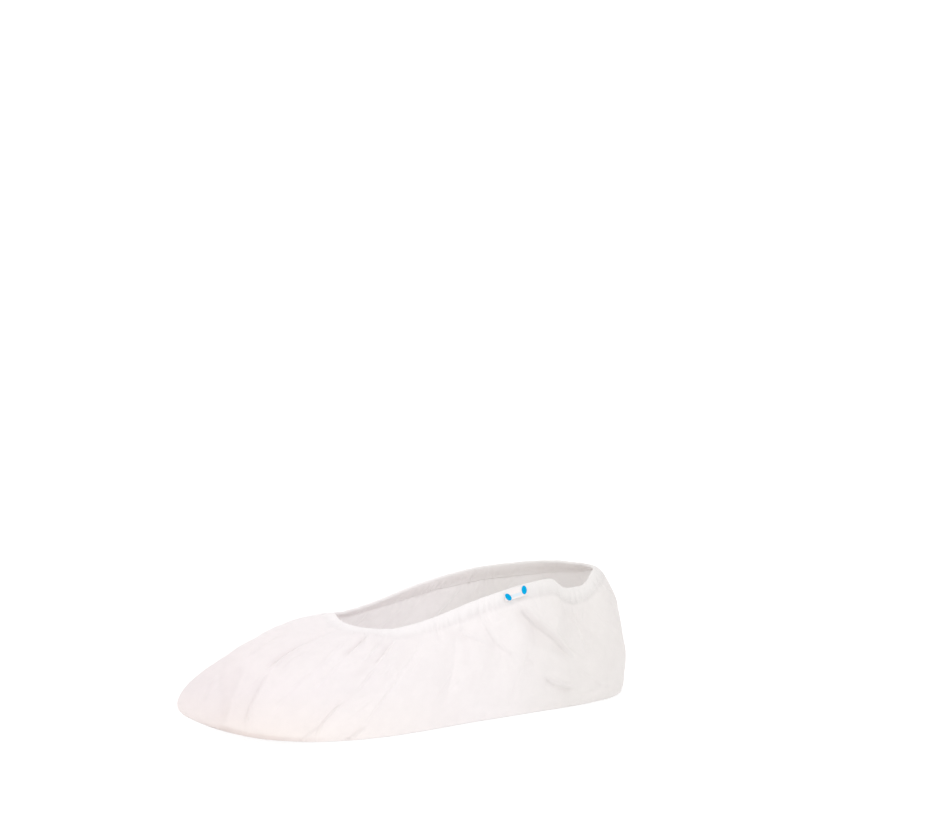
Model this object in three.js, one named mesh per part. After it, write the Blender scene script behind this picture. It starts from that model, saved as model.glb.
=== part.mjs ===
// Disposable overshoe: a loose cover of crisp nonwoven cloth, worn over a shoe.
// The cloth is drawn in round the ankle by an elastic that runs inside a folded hem.
//
// Millimetres, +Z up, toe towards -X, heel towards +X, near side towards -Y.
// The origin is on the floor, under the middle of the cover's box.
//
// Two numbers place a point on the cloth:
//   around  0 at the toe, 1 at the heel along the near side, -1 at the heel along the far side
//   up      0 at the sole edge, 1 at the top of the hem, measured along the cloth

import * as THREE from "three";

// ---------------------------------------------------------------- driving sizes

const WALL = 1.2; // one layer of cloth, with its crumple
const GAP = 0.3; // between two pieces that touch
const COLUMNS = 112; // steps round the cover
const CLOTH_ROWS = 13; // steps from the sole edge to the edge inside the hem

const SPRING = { height: 15.5, end: 110, power: 3.2 }; // how the sole rises to the toe

const HEM = {
  drop: 11, // height of the folded band
  edge: 7, // the cloth's own edge, below the top of the band
  crown: 1.6, // inside of the fold, below the top of the band
};
const ELASTIC = { top: 2.1, width: 4.4, face: -0.2, thickness: 0.8 };

const GATHERS = { count: 28, depth: 0.9, reach: 14 }; // round the hem, fading down the cloth
const FOLD_FADE = 12; // the folds die out over this height below the hem
const RIM_DIP = { around: 0.8, reach: 0.065, depth: 9, power: 4 }; // slack hem by the heel

// The cloth laid flat, which is where the folds are measured.
const FLAT = { half: 310, height: 95 };

// A plain tab on the near side of the hem, held by a bar tack at each end.
const TAB = { around: 0.587, length: 18.6, top: 0.8, foot: 7.8, thickness: 0.8, columns: 6, rows: 2 };
const TAB_FLAT = 0.06; // the gathers are flat this far round on each side of the tab's middle
const TACK = { thickness: 0.6, shrink: 0.7, sides: 16 };

/** Turns rows of numbers into rows with named columns. */
function table(columns, rows) {
  const names = columns.split(" ");
  return rows.map((row) => Object.fromEntries(names.map((name, i) => [name, row[i]])));
}

// Half of the sole's outline, from the toe to the heel.
const SOLE_EDGE = table("along half", [
  [6, 0],
  [9, 12],
  [17, 21],
  [29, 29.5],
  [44, 37],
  [73, 48],
  [96, 54.5],
  [122, 58],
  [150, 57],
  [185, 53.5],
  [230, 51],
  [275, 48.5],
  [310, 40],
  [328, 22],
  [333, 0],
]);

// Half of the rim, from the instep to the heel.
const RIM = table("along half height", [
  [113, 0, 72],
  [113, 8, 68.8],
  [114, 17, 67.2],
  [117, 25, 66.6],
  [124, 31, 65.5],
  [140, 35, 64.9],
  [165, 37, 69.1],
  [200, 37.5, 78.1],
  [238, 36, 84.8],
  [268, 33, 86.7],
  [292, 29, 87],
  [304, 22.5, 86.9],
  [311, 12, 86.6],
  [314, 0, 86.5],
]);

// The bar tacks: where along the tab, how far below the top of the hem, two radii and a tilt.
const TACKS = table("name shift drop long short tilt", [
  ["bar_tack_front", -6.7, 5.2, 3.1, 1.7, -50],
  ["bar_tack_rear", 6.7, 3.7, 2.9, 2, 88],
]);

// How the cloth leaves the sole (out and up) and how it reaches the rim (from outside and below).
const SECTION = table("around footOut footUp rimOut rimDown", [
  [0.0, 18, 14, 55, 0],
  [0.12, 11, 19, 46, 6],
  [0.28, 8, 20, 24, 20],
  [0.5, 6, 22, 13, 28],
  [0.75, 6, 26, 10, 32],
  [0.9, 8, 30, 12, 16],
  [1.0, 10, 34, 20, 3],
]);

// Each fold runs from one place on the cloth to another; bend, width and depth are in mm.
// A fold is a valley with a soft ridge beside it; a negative depth swaps the two.
const FOLDS = table("around0 up0 around1 up1 bend width depth", [
  // near side, toe to heel
  [0.02, 0.45, 0.092, 0.04, -4, 6, 2.1],
  [0.085, 0.96, 0.11, 0.03, 4, 5, 2.4],
  [0.142, 0.97, 0.15, 0.5, 2, 4.5, 1.6],
  [0.205, 0.97, 0.185, 0.48, 0, 4.5, 1.5],
  [0.22, 0.42, 0.232, 0.0, 2, 5, 1.5],
  [0.27, 0.9, 0.31, 0.12, 2, 6, 1.6],
  [0.37, 0.9, 0.52, 0.58, 0, 6, 1.5],
  [0.46, 0.92, 0.62, 0.38, 3, 5.5, 1.8],
  [0.57, 0.92, 0.76, 0.36, 3, 5.5, 2.4],
  [0.66, 0.3, 0.77, 0.12, 0, 6, 2],
  [0.76, 0.9, 0.88, 0.3, -3, 6, 2],
  // heel
  [0.9, 0.9, 0.96, 0.25, 2, 7, 1.8],
  [1.03, 0.85, 1.06, 0.2, 3, 7, 1.8],
  // far side, heel to toe
  [-0.84, 0.92, -0.72, 0.3, -3, 6, 2.2],
  [-0.68, 0.93, -0.56, 0.35, 3, 6, 1.8],
  [-0.5, 0.92, -0.42, 0.2, -2, 6, 1.8],
  [-0.36, 0.94, -0.3, 0.3, 2, 5, 1.6],
  [-0.26, 0.45, -0.24, 0.0, 2, 6, 1.6],
  [-0.19, 0.97, -0.18, 0.4, 2, 5, 1.7],
  [-0.11, 0.96, -0.12, 0.1, -4, 5, 2.2],
  [-0.03, 0.5, -0.09, 0.08, 4, 7, 1.5],
]);

// ---------------------------------------------------------------- smooth form

const Z = new THREE.Vector3(0, 0, 1);

/** The share of the way from a to b, eased at both ends. */
const ease = (value, a, b) => THREE.MathUtils.smoothstep(value, a, b);

/** Height of the sole's underside at a distance from the toe tip. */
function soleLift(along) {
  const rise = Math.max(0, (SPRING.end - along) / (SPRING.end - SOLE_EDGE[0].along));
  return SPRING.height * rise ** SPRING.power;
}

/** Evenly spaced points round a closed curve through both mirrored halves, near side first. */
function outline(rows, count) {
  const near = rows.map((row) => new THREE.Vector3(row.along, -row.half, row.height ?? 0));
  const far = near.slice(1, -1).reverse().map((p) => new THREE.Vector3(p.x, -p.y, p.z));
  const curve = new THREE.CatmullRomCurve3([...near, ...far], true, "catmullrom", 0.5);
  curve.arcLengthDivisions = 40 * COLUMNS;
  return curve.getSpacedPoints(count).slice(0, count);
}

/** Level directions that point out of a closed ring of points. */
function outward(ring) {
  return ring.map((_, j) => {
    const along = ring[(j + 1) % ring.length].clone().sub(ring.at(j - 1));
    return along.cross(Z).setZ(0).normalize();
  });
}

/** Distance round the cloth of a column: 0 at the toe to 1 at the heel, negative on the far side. */
function aroundOf(column) {
  const turn = (2 * column) / COLUMNS;
  return turn <= 1 ? turn : turn - 2;
}

/** One row of SECTION's numbers, eased between the rows on each side of it. */
function sectionAt(around) {
  const next = SECTION.findIndex((row, i) => i > 0 && row.around >= around - 1e-9);
  const [a, b] = [SECTION[next - 1], SECTION[next]];
  const share = ease(around, a.around, b.around);
  const mix = (key) => THREE.MathUtils.lerp(a[key], b[key], share);
  return { footOut: mix("footOut"), footUp: mix("footUp"), rimOut: mix("rimOut"), rimDown: mix("rimDown") };
}

/** The curve up each column, from the sole edge to the rim. */
function columnCurves() {
  const foot = outline(SOLE_EDGE, COLUMNS);
  foot.forEach((p) => p.setZ(soleLift(p.x) + WALL + GAP));
  const rim = outline(RIM, COLUMNS);
  rim.forEach((p, j) => {
    const off = Math.abs(aroundOf(j) - RIM_DIP.around) / RIM_DIP.reach;
    p.z -= RIM_DIP.depth * Math.exp(-(off ** RIM_DIP.power));
  });
  const footOut = outward(foot);
  const rimOut = outward(rim);
  return foot.map((start, j) => {
    const s = sectionAt(Math.abs(aroundOf(j)));
    const leave = start.clone().addScaledVector(footOut[j], s.footOut).addScaledVector(Z, s.footUp);
    const reach = rim[j].clone().addScaledVector(rimOut[j], s.rimOut).addScaledVector(Z, -s.rimDown);
    return new THREE.CubicBezierCurve3(start, leave, reach, rim[j]);
  });
}

const CURVES = columnCurves();
const RIM_LENGTH = CURVES.reduce(
  (sum, curve, j) => sum + curve.v3.distanceTo(CURVES[(j + 1) % COLUMNS].v3),
  0,
);

// ---------------------------------------------------------------- folds and gathers

/** How far one fold lifts the cloth at a place on it. */
function foldLift(fold, around, up) {
  const dx = (fold.around1 - fold.around0) * FLAT.half;
  const dy = (fold.up1 - fold.up0) * FLAT.height;
  const length = Math.hypot(dx, dy);
  const x = (around - fold.around0) * FLAT.half;
  const y = (up - fold.up0) * FLAT.height;
  const share = (x * dx + y * dy) / length ** 2;
  if (share <= 0 || share >= 1) return 0;
  const side = (x * dy - y * dx) / length - fold.bend * 4 * share * (1 - share);
  const fade = ease(share, 0, 0.25) * (1 - ease(share, 0.75, 1));
  const valley = -Math.exp(-((side / fold.width) ** 2));
  const ridge = 0.6 * Math.exp(-((side / fold.width - 1.7) ** 2));
  return fold.depth * fade * (valley + ridge);
}

/** How far the cloth stands off its smooth form, in mm. */
function clothLift(column, up, drop) {
  const around = aroundOf(column);
  const wrapped = around < 0 ? around + 2 : around - 2;
  const folds = FOLDS.reduce(
    (sum, fold) => sum + foldLift(fold, around, up) + foldLift(fold, wrapped, up),
    0,
  );
  const wave = Math.cos((2 * Math.PI * GATHERS.count * column) / COLUMNS);
  const flat = Math.exp(-(((around - TAB.around) / TAB_FLAT) ** 4));
  const gathers = GATHERS.depth * wave * (1 - flat) * Math.exp(-((drop / GATHERS.reach) ** 2));
  return folds * ease(drop, HEM.drop, HEM.drop + FOLD_FADE) + gathers;
}

/** A closed ring of points on the cloth. Each column gives its distance below the top of the hem. */
function clothRing(dropOf) {
  const smooth = CURVES.map((curve, j) => {
    const length = curve.getLength();
    const drop = dropOf(length, j);
    const up = 1 - drop / length;
    const point = curve.getPointAt(THREE.MathUtils.clamp(up, 0, 1));
    const tangent = curve.getTangentAt(THREE.MathUtils.clamp(up, 0, 1));
    if (drop < 0) point.addScaledVector(tangent, -drop);
    return { point, tangent, up, drop };
  });
  const count = smooth.length;
  return smooth.map((s, j) => {
    const across = smooth[(j + 1) % count].point.clone().sub(smooth.at(j - 1).point);
    const out = across.cross(s.tangent).normalize();
    const lift = clothLift(j, s.up, Math.max(s.drop, 0));
    return { point: s.point.clone().addScaledVector(out, lift), tangent: s.tangent, lift };
  });
}

/** The same ring moved along the cloth's own outward directions, taken after the folds. */
function offsetRing(ring, distance) {
  const count = ring.length;
  return ring.map((c, j) => {
    const across = ring[(j + 1) % count].point.clone().sub(ring.at(j - 1).point);
    const out = across.cross(c.tangent).normalize();
    return Object.assign(c.point.clone().addScaledVector(out, distance), { lift: c.lift });
  });
}

// ---------------------------------------------------------------- meshes

/** A geometry from rows of points. Each cell splits along the diagonal that a fold runs along. */
function gridGeometry(rows, closedRows) {
  const width = rows[0].length;
  const position = rows.flat().flatMap((p) => [p.x, p.y, p.z]);
  const index = [];
  const last = closedRows ? rows.length : rows.length - 1;
  for (let k = 0; k < last; k += 1) {
    const above = (k + 1) % rows.length;
    for (let j = 0; j < width; j += 1) {
      const next = (j + 1) % width;
      const [a, b, c, d] = [k * width + j, k * width + next, above * width + next, above * width + j];
      const step = (p, q) => Math.abs((p.lift ?? 0) - (q.lift ?? 0));
      const rising = step(rows[k][j], rows[above][next]);
      const falling = step(rows[k][next], rows[above][j]);
      if (rising <= falling) index.push(a, b, c, a, c, d);
      else index.push(a, b, d, b, c, d);
    }
  }
  const geometry = new THREE.BufferGeometry();
  geometry.setAttribute("position", new THREE.Float32BufferAttribute(position, 3));
  geometry.setIndex(index);
  return geometry;
}

/** A solid from open rows of rings. Each end is closed by strips straight across the ring. */
function closedGeometry(rows) {
  const geometry = gridGeometry(rows, false);
  const width = rows[0].length;
  const top = (rows.length - 1) * width;
  const index = [...geometry.getIndex().array];
  const close = (a, b, c) => {
    index.push(c, b, a);
    index.push(top + a, top + b, top + c);
  };
  close(0, 1, width - 1);
  for (let j = 1; j < width / 2 - 1; j += 1) {
    close(j, j + 1, width - j - 1);
    close(j, width - j - 1, width - j);
  }
  close(width / 2 - 1, width / 2, width / 2 + 1);
  geometry.setIndex(index);
  return geometry;
}

const MATERIALS = {
  cloth: { color: 0xf2efee, roughness: 0.75 },
  sole: { color: 0xeae6e4, roughness: 0.7 },
  elastic: { color: 0xf4f4f2, roughness: 0.9 },
  tab: { color: 0xe6f1f6, roughness: 0.7 },
  thread: { color: 0x12a0dc, roughness: 0.6 },
};

const cover = new THREE.Group();
cover.name = "shoe_cover";

function addPiece(name, geometry, finish) {
  geometry.computeVertexNormals();
  const mesh = new THREE.Mesh(geometry, new THREE.MeshStandardMaterial({ ...MATERIALS[finish], metalness: 0 }));
  mesh.name = name;
  cover.add(mesh);
}

// ---------------------------------------------------------------- upper

/** The cloth from the sole edge to its own edge inside the hem, as an open shell. */
function upper() {
  const rings = Array.from({ length: CLOTH_ROWS + 1 }, (_, k) => {
    // The last step ends at the foot of the hem band, so that both follow the same surface there.
    if (k === CLOTH_ROWS) return clothRing(() => HEM.edge);
    const share = k / (CLOTH_ROWS - 1);
    return clothRing((length) => length - share * (length - HEM.drop));
  });
  const outside = rings.map((ring) => offsetRing(ring, 0));
  const inside = rings.map((ring) => offsetRing(ring, -WALL));
  return gridGeometry([...outside, ...inside.reverse()], true);
}

// ---------------------------------------------------------------- sole panel

/** A sheet under the foot: flat on the floor, rising to the toe. */
function solePanel() {
  const edge = outline(SOLE_EDGE, COLUMNS);
  const ring = (lift) => edge.map((p) => new THREE.Vector3(p.x, p.y, soleLift(p.x) + lift));
  return closedGeometry([ring(0), ring(WALL)]);
}

// ---------------------------------------------------------------- hem

/** The folded band: one strip that runs down the outside, over the top and down the inside. */
function hemCasing() {
  const outer = GAP + WALL;
  const inner = -2 * WALL - GAP;
  const section = table("drop out", [
    [HEM.drop, outer],
    [HEM.edge, outer],
    [HEM.crown, outer],
    [0, (outer + 2 * GAP) / 2],
    [0, (inner - 2 * GAP) / 2],
    [HEM.crown, inner],
    [HEM.edge, inner],
    [HEM.drop, inner],
    [HEM.drop, -WALL - GAP],
    [HEM.edge, -WALL - GAP],
    [HEM.crown, -WALL - GAP],
    [HEM.crown, GAP],
    [HEM.edge, GAP],
    [HEM.drop, GAP],
  ]);
  return gridGeometry(section.map((s) => offsetRing(clothRing(() => s.drop), s.out)), true);
}

/** The flat elastic that lies in the fold, above the cloth's own edge. */
function elasticBand() {
  const bottom = ELASTIC.top + ELASTIC.width;
  const section = table("drop out", [
    [bottom, ELASTIC.face],
    [ELASTIC.top, ELASTIC.face],
    [ELASTIC.top, ELASTIC.face - ELASTIC.thickness],
    [bottom, ELASTIC.face - ELASTIC.thickness],
  ]);
  return gridGeometry(section.map((s) => offsetRing(clothRing(() => s.drop), s.out)), true);
}

// ---------------------------------------------------------------- tab

const HEM_FACE = GAP + WALL; // the outside of the hem, above the cloth
const RIM_HALF = RIM_LENGTH / 2;

/** A point over the hem at a distance round from the tab's middle, with the hem's own directions. */
function overHem(shift, drop, distance) {
  const ring = clothRing(() => drop);
  const lifted = offsetRing(ring, distance);
  const column = ((TAB.around + shift / RIM_HALF) * COLUMNS) / 2;
  const j = Math.floor(column);
  const point = lifted[j].clone().lerp(lifted[j + 1], column - j);
  const along = lifted[j + 1].clone().sub(lifted[j]).normalize();
  const out = along.clone().cross(ring[j].tangent).normalize();
  return { point, along, out, up: out.clone().cross(along) };
}

/** A thin slab that lies on the outside of the hem. */
function tab() {
  const back = HEM_FACE + GAP;
  const shifts = Array.from({ length: TAB.columns + 1 }, (_, i) => TAB.length * (i / TAB.columns - 0.5));
  const rows = Array.from({ length: TAB.rows + 1 }, (_, k) => {
    const drop = THREE.MathUtils.lerp(TAB.foot, TAB.top, k / TAB.rows);
    const face = shifts.map((shift) => overHem(shift, drop, back + TAB.thickness).point);
    const rear = shifts.map((shift) => overHem(shift, drop, back).point).reverse();
    return [...face, ...rear];
  });
  return closedGeometry(rows);
}

/** A low oval of thread on the tab. */
function barTack(row) {
  const base = HEM_FACE + 2 * GAP + TAB.thickness;
  const { point, along, out, up } = overHem(row.shift, row.drop, base);
  const tilt = THREE.MathUtils.degToRad(row.tilt);
  const ring = (share, height) =>
    Array.from({ length: TACK.sides }, (_, i) => {
      const turn = (2 * Math.PI * i) / TACK.sides;
      const [x, y] = [share * row.long * Math.cos(turn), share * row.short * Math.sin(turn)];
      return point
        .clone()
        .addScaledVector(along, x * Math.cos(tilt) - y * Math.sin(tilt))
        .addScaledVector(up, x * Math.sin(tilt) + y * Math.cos(tilt))
        .addScaledVector(out, height);
    });
  return closedGeometry([ring(1, 0), ring(1, TACK.thickness / 2), ring(TACK.shrink, TACK.thickness)]);
}

// ---------------------------------------------------------------- assembly

addPiece("upper", upper(), "cloth");
addPiece("sole_panel", solePanel(), "sole");
addPiece("hem_casing", hemCasing(), "cloth");
addPiece("elastic_band", elasticBand(), "elastic");
addPiece("tab", tab(), "tab");
for (const row of TACKS) addPiece(row.name, barTack(row), "thread");

// The origin goes to the middle of the cover's box, on the floor.
const box = new THREE.Box3().setFromObject(cover);
const middle = box.getCenter(new THREE.Vector3());
cover.position.set(-middle.x, -middle.y, -box.min.z);

export default cover;
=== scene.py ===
"""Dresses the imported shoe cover: gathered nonwoven cloth, elastic hem, sole panel, tab and stitching.

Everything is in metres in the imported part's own frame. The shape tables are in millimetres, as a
pattern cutter would write them, and ClothForm.place() turns them into metres. Two numbers place a point
on the cloth: "around" is 0 at the toe, 1 at the heel along the near side and -1 along the far side,
and "drop" is the distance below the top of the hem, measured along the cloth.
"""

import logging
import math
from collections.abc import Callable
from dataclasses import dataclass, field
from enum import Enum

import bmesh
import bpy
import numpy as np
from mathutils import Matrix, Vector


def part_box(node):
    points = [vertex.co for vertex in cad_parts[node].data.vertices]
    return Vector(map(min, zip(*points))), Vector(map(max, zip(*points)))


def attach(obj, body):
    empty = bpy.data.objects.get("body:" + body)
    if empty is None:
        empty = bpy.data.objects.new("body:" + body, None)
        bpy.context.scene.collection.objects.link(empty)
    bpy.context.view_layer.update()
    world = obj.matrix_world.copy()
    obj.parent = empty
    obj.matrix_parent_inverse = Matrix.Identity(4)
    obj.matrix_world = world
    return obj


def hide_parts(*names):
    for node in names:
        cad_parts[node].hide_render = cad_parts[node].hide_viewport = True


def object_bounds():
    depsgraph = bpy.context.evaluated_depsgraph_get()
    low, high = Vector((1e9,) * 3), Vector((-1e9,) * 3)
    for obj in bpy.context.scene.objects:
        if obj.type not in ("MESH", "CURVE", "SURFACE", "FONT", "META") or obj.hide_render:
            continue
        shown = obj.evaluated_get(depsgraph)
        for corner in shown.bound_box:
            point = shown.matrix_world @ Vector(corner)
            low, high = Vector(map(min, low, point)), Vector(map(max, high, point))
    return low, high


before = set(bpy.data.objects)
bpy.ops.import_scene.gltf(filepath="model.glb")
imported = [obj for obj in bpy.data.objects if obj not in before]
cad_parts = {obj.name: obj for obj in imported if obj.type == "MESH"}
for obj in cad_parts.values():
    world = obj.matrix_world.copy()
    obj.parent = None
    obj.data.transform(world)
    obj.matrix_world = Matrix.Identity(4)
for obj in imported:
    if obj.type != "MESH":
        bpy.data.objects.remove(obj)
CAD_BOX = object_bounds()

Array = np.ndarray
Profile = Callable[[Array], Array]
Output = bpy.types.NodeSocket
Colour = tuple[float, float, float, float]
Pair = tuple[float, float]
MM = 0.001
LOG = logging.getLogger("shoe_cover")


def table(columns: str, rows: list[tuple[float, ...]]) -> dict[str, Array]:
    """Turns rows of numbers into one array for each named column.

    Args:
        columns: The names, with spaces between them.
        rows: One tuple for each row, in the order of the names.

    Returns:
        The arrays by name.
    """
    values = np.array(rows, float)
    return {name: values[:, i] for i, name in enumerate(columns.split())}


# ---------------------------------------------------------------- shape tables, in mm

SOLE_EDGE = table(
    "along half",
    [
        (6, 0), (9, 12), (17, 21), (29, 29.5), (44, 37), (73, 48), (96, 54.5), (122, 58),
        (150, 57), (185, 53.5), (230, 51), (275, 48.5), (310, 40), (328, 22), (333, 0),
    ],
)

RIM = table(
    "along half height",
    [
        (113, 0, 72), (113, 8, 68.8), (114, 17, 67.2), (117, 25, 66.6), (124, 31, 65.5),
        (140, 35, 64.9), (165, 37, 69.1), (200, 37.5, 78.1), (238, 36, 84.8), (268, 33, 86.7),
        (292, 29, 87), (304, 22.5, 86.9), (311, 12, 86.6), (314, 0, 86.5),
    ],
)

SECTION = table(
    "around foot_out foot_up rim_out rim_down",
    [
        (0.0, 18, 14, 55, 0),
        (0.12, 11, 19, 46, 6),
        (0.28, 8, 20, 24, 20),
        (0.5, 6, 22, 13, 28),
        (0.75, 6, 26, 10, 32),
        (0.9, 8, 30, 12, 16),
        (1.0, 10, 34, 20, 3),
    ],
)

# The broad folds, which the solid has too: a soft valley with a ridge beside it.
FOLDS = table(
    "around0 up0 around1 up1 bend width depth",
    [
        (0.02, 0.45, 0.092, 0.04, -4, 6, 2.1),
        (0.085, 0.96, 0.11, 0.03, 4, 5, 2.4),
        (0.142, 0.97, 0.15, 0.5, 2, 4.5, 1.6),
        (0.205, 0.97, 0.185, 0.48, 0, 4.5, 1.5),
        (0.22, 0.42, 0.232, 0.0, 2, 5, 1.5),
        (0.27, 0.9, 0.31, 0.12, 2, 6, 1.6),
        (0.37, 0.9, 0.52, 0.58, 0, 6, 1.5),
        (0.46, 0.92, 0.62, 0.38, 3, 5.5, 1.8),
        (0.57, 0.92, 0.76, 0.36, 3, 5.5, 2.4),
        (0.66, 0.3, 0.77, 0.12, 0, 6, 2.0),
        (0.76, 0.9, 0.88, 0.3, -3, 6, 2.0),
        (0.9, 0.9, 0.96, 0.25, 2, 7, 1.8),
        (1.03, 0.85, 1.06, 0.2, 3, 7, 1.8),
        (-0.84, 0.92, -0.72, 0.3, -3, 6, 2.2),
        (-0.68, 0.93, -0.56, 0.35, 3, 6, 1.8),
        (-0.5, 0.92, -0.42, 0.2, -2, 6, 1.8),
        (-0.36, 0.94, -0.3, 0.3, 2, 5, 1.6),
        (-0.26, 0.45, -0.24, 0.0, 2, 6, 1.6),
        (-0.19, 0.97, -0.18, 0.4, 2, 5, 1.7),
        (-0.11, 0.96, -0.12, 0.1, -4, 5, 2.2),
        (-0.03, 0.5, -0.09, 0.08, 4, 7, 1.5),
    ],
)

# The crisp creases on top of them: a sharp line, with the cloth standing up on one side of it.
CREASES = table(
    "around0 up0 around1 up1 bend width depth",
    [
        # toe
        (0.084, -0.04, 0.026, 0.45, 3.5, 3.8, 2.9),
        (0.004, 0.37, 0.087, 0.0, -2, 1.5, -0.8),
        (0.028, 0.24, 0.04, 0.1, 1, 1.1, 0.9),
        (0.024, 0.72, 0.03, 0.4, 0, 1.2, 0.7),
        # vamp, fanning out from the corner of the mouth
        (0.082, 0.97, 0.072, 0.42, 2, 1.1, 1.5),
        (0.07, 0.68, 0.073, 0.4, 0.5, 0.8, 1.7),
        (0.075, 0.44, 0.122, -0.02, 1, 1.1, 1.8),
        (0.092, 0.72, 0.096, 0.42, 2.5, 1.1, 0.8),
        (0.14, 0.97, 0.135, 0.66, 0.5, 0.6, 2.2),
        (0.134, 0.7, 0.148, 0.34, 0, 1.1, 1.0),
        (0.114, 0.86, 0.127, 0.42, 0, 1.0, 1.3),
        (0.12, 0.52, 0.133, 0.14, 0.5, 1.1, 0.9),
        (0.172, 0.88, 0.167, 0.66, 1, 0.8, 0.8),
        (0.207, 0.92, 0.203, 0.64, 2.2, 1.0, 0.9),
        (0.201, 0.68, 0.224, 0.4, 0.5, 1.2, -0.6),
        (0.285, 0.92, 0.282, 0.46, 2, 1.5, -0.45),
        (0.28, 0.62, 0.308, 0.04, -1, 1.4, -0.7),
        (0.224, 0.34, 0.235, -0.02, 0.5, 0.9, 1.0),
        (0.228, 0.1, 0.206, -0.02, 0, 1.0, 0.7),
        (0.314, 0.09, 0.286, -0.03, 0, 1.2, 1.6),
        # side, dragging from the hem towards the heel
        (0.38, 0.8, 0.467, 0.05, -5.4, 4.0, 1.4),
        (0.385, 0.86, 0.512, 0.6, 0, 1.1, 0.8),
        (0.463, 0.88, 0.63, 0.38, 2.5, 1.4, 1.0),
        (0.505, 0.77, 0.592, 0.85, 0, 1.4, -0.4),
        (0.58, 0.9, 0.775, 0.36, 1.2, 2.0, 3.2),
        (0.625, 0.77, 0.77, 0.32, 2, 3.0, 0.6),
        (0.622, 0.42, 0.61, 0.06, 0, 2.0, 0.6),
        (0.683, 0.27, 0.76, 0.14, 2.8, 1.6, 2.1),
        (0.66, 0.36, 0.63, 0.45, 0, 1.1, 0.4),
        (0.79, 0.84, 0.8, 0.4, 4, 1.2, 0.77),
        (0.84, 0.8, 0.9, 0.35, 2, 1.2, 0.66),
        (0.77, 0.3, 0.86, 0.06, 2, 1.3, 0.55),
        # heel
        (0.93, 0.9, 0.99, 0.5, 2, 1.2, 0.66),
        (1.05, 0.92, 1.02, 0.4, -2, 1.3, 0.66),
        (0.95, 0.35, 1.04, 0.1, 4, 1.3, 0.61),
        (1.1, 0.5, 1.14, 0.1, 2, 1.3, 0.55),
        # far side
        (-0.8, 0.9, -0.7, 0.4, -3, 1.2, 0.77),
        (-0.74, 0.4, -0.66, 0.1, 2, 1.3, 0.61),
        (-0.62, 0.92, -0.52, 0.45, 3, 1.1, 0.66),
        (-0.6, 0.88, -0.46, 0.8, 1, 1.0, 0.44),
        (-0.46, 0.86, -0.4, 0.3, -2, 1.2, 0.61),
        (-0.34, 0.9, -0.3, 0.4, 2, 1.1, 0.66),
        (-0.28, 0.4, -0.25, 0.02, 2, 1.2, 0.61),
        (-0.2, 0.95, -0.19, 0.5, 1, 1.0, 0.88),
        (-0.13, 0.93, -0.125, 0.55, -1, 1.1, 0.99),
        (-0.07, 0.93, -0.08, 0.45, -2, 1.2, 0.99),
        (-0.08, 0.5, -0.12, 0.05, -3, 1.3, 0.66),
        (-0.03, 0.32, -0.07, 0.06, 3, 1.3, 0.4),
    ],
)


# ---------------------------------------------------------------- sizes, in mm

CLOTH = 0.36  # drawn thickness of one layer of cloth


@dataclass(frozen=True)
class Spring:
    """How the sole rises to the toe."""

    height: float = 15.5  # at the tip
    end: float = 110.0  # how far along the rise ends
    power: float = 3.2


@dataclass(frozen=True)
class Hem:
    """The turned-in hem: how deep it is inside, its stitch line and how it stands round the elastic."""

    drop: float = 11.0  # depth of the turning inside
    stitch: float = 8.6  # how far down the stitch line runs
    crown: float = 0.6  # where the round over the top begins
    rise: float = 0.35  # how far that round stands above the form's own edge
    puff_out: float = 0.4
    puff_in: float = 1.6
    puff_wave: float = 0.62  # share of a half wave that the bulge covers
    puff_power: float = 1.2
    pinch: float = 0.2  # between the layers at the stitches
    groove: float = 0.04  # depth of the stitch line's groove
    groove_width: float = 0.8

    def puff(self, drop: Array) -> Array:
        """Share of the full bulge: a sine of the share of the way up from the stitches, to a power."""
        share = np.clip((self.stitch - drop) / (self.stitch - self.crown), 0.0, 1.0)
        wave = np.sin(share * math.pi * self.puff_wave) / math.sin(math.pi * self.puff_wave)
        return wave**self.puff_power

    def outside(self, drop: Array) -> Array:
        """How far the outer layer stands off the form: the bulge, less a bell-shaped groove."""
        groove = np.exp(-(((drop - self.stitch) / self.groove_width) ** 2))
        return self.puff_out * self.puff(drop) - self.groove * groove

    def inside(self, drop: Array) -> Array:
        """How far the inner layer stands off the form, which is a minus distance."""
        return -CLOTH - self.pinch - (self.puff_in - self.pinch) * self.puff(drop)

    def fold(self, angle: Array, under: float = 0.0) -> tuple[Array, Array]:
        """The section over the top, a half round from the outer layer to the inner one.

        Args:
            angle: From 0 at the outer layer to pi at the inner one.
            under: How far the round is drawn in, in mm.

        Returns:
            Distances below the top, and distances off the form.
        """
        outer, inner = self.outside(self.crown), self.inside(self.crown)
        middle, radius = (outer + inner) / 2, (outer - inner) / 2 - under
        drop = self.crown - (self.crown + self.rise - under) * np.sin(angle)
        return drop, middle + radius * np.cos(angle)


@dataclass(frozen=True)
class RimDip:
    """The slack stretch of hem on the near side by the heel: a flat-topped bell of the place round."""

    around: float = 0.8
    reach: float = 0.065
    depth: float = 9.0
    power: float = 4.0


@dataclass(frozen=True)
class Pucker:
    """One family of gathers."""

    count: int  # how many go round
    depth: float
    reach: float  # how far they run down below the stitches
    wander: float  # how unevenly they are spaced, in radians
    seed: int


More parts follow.
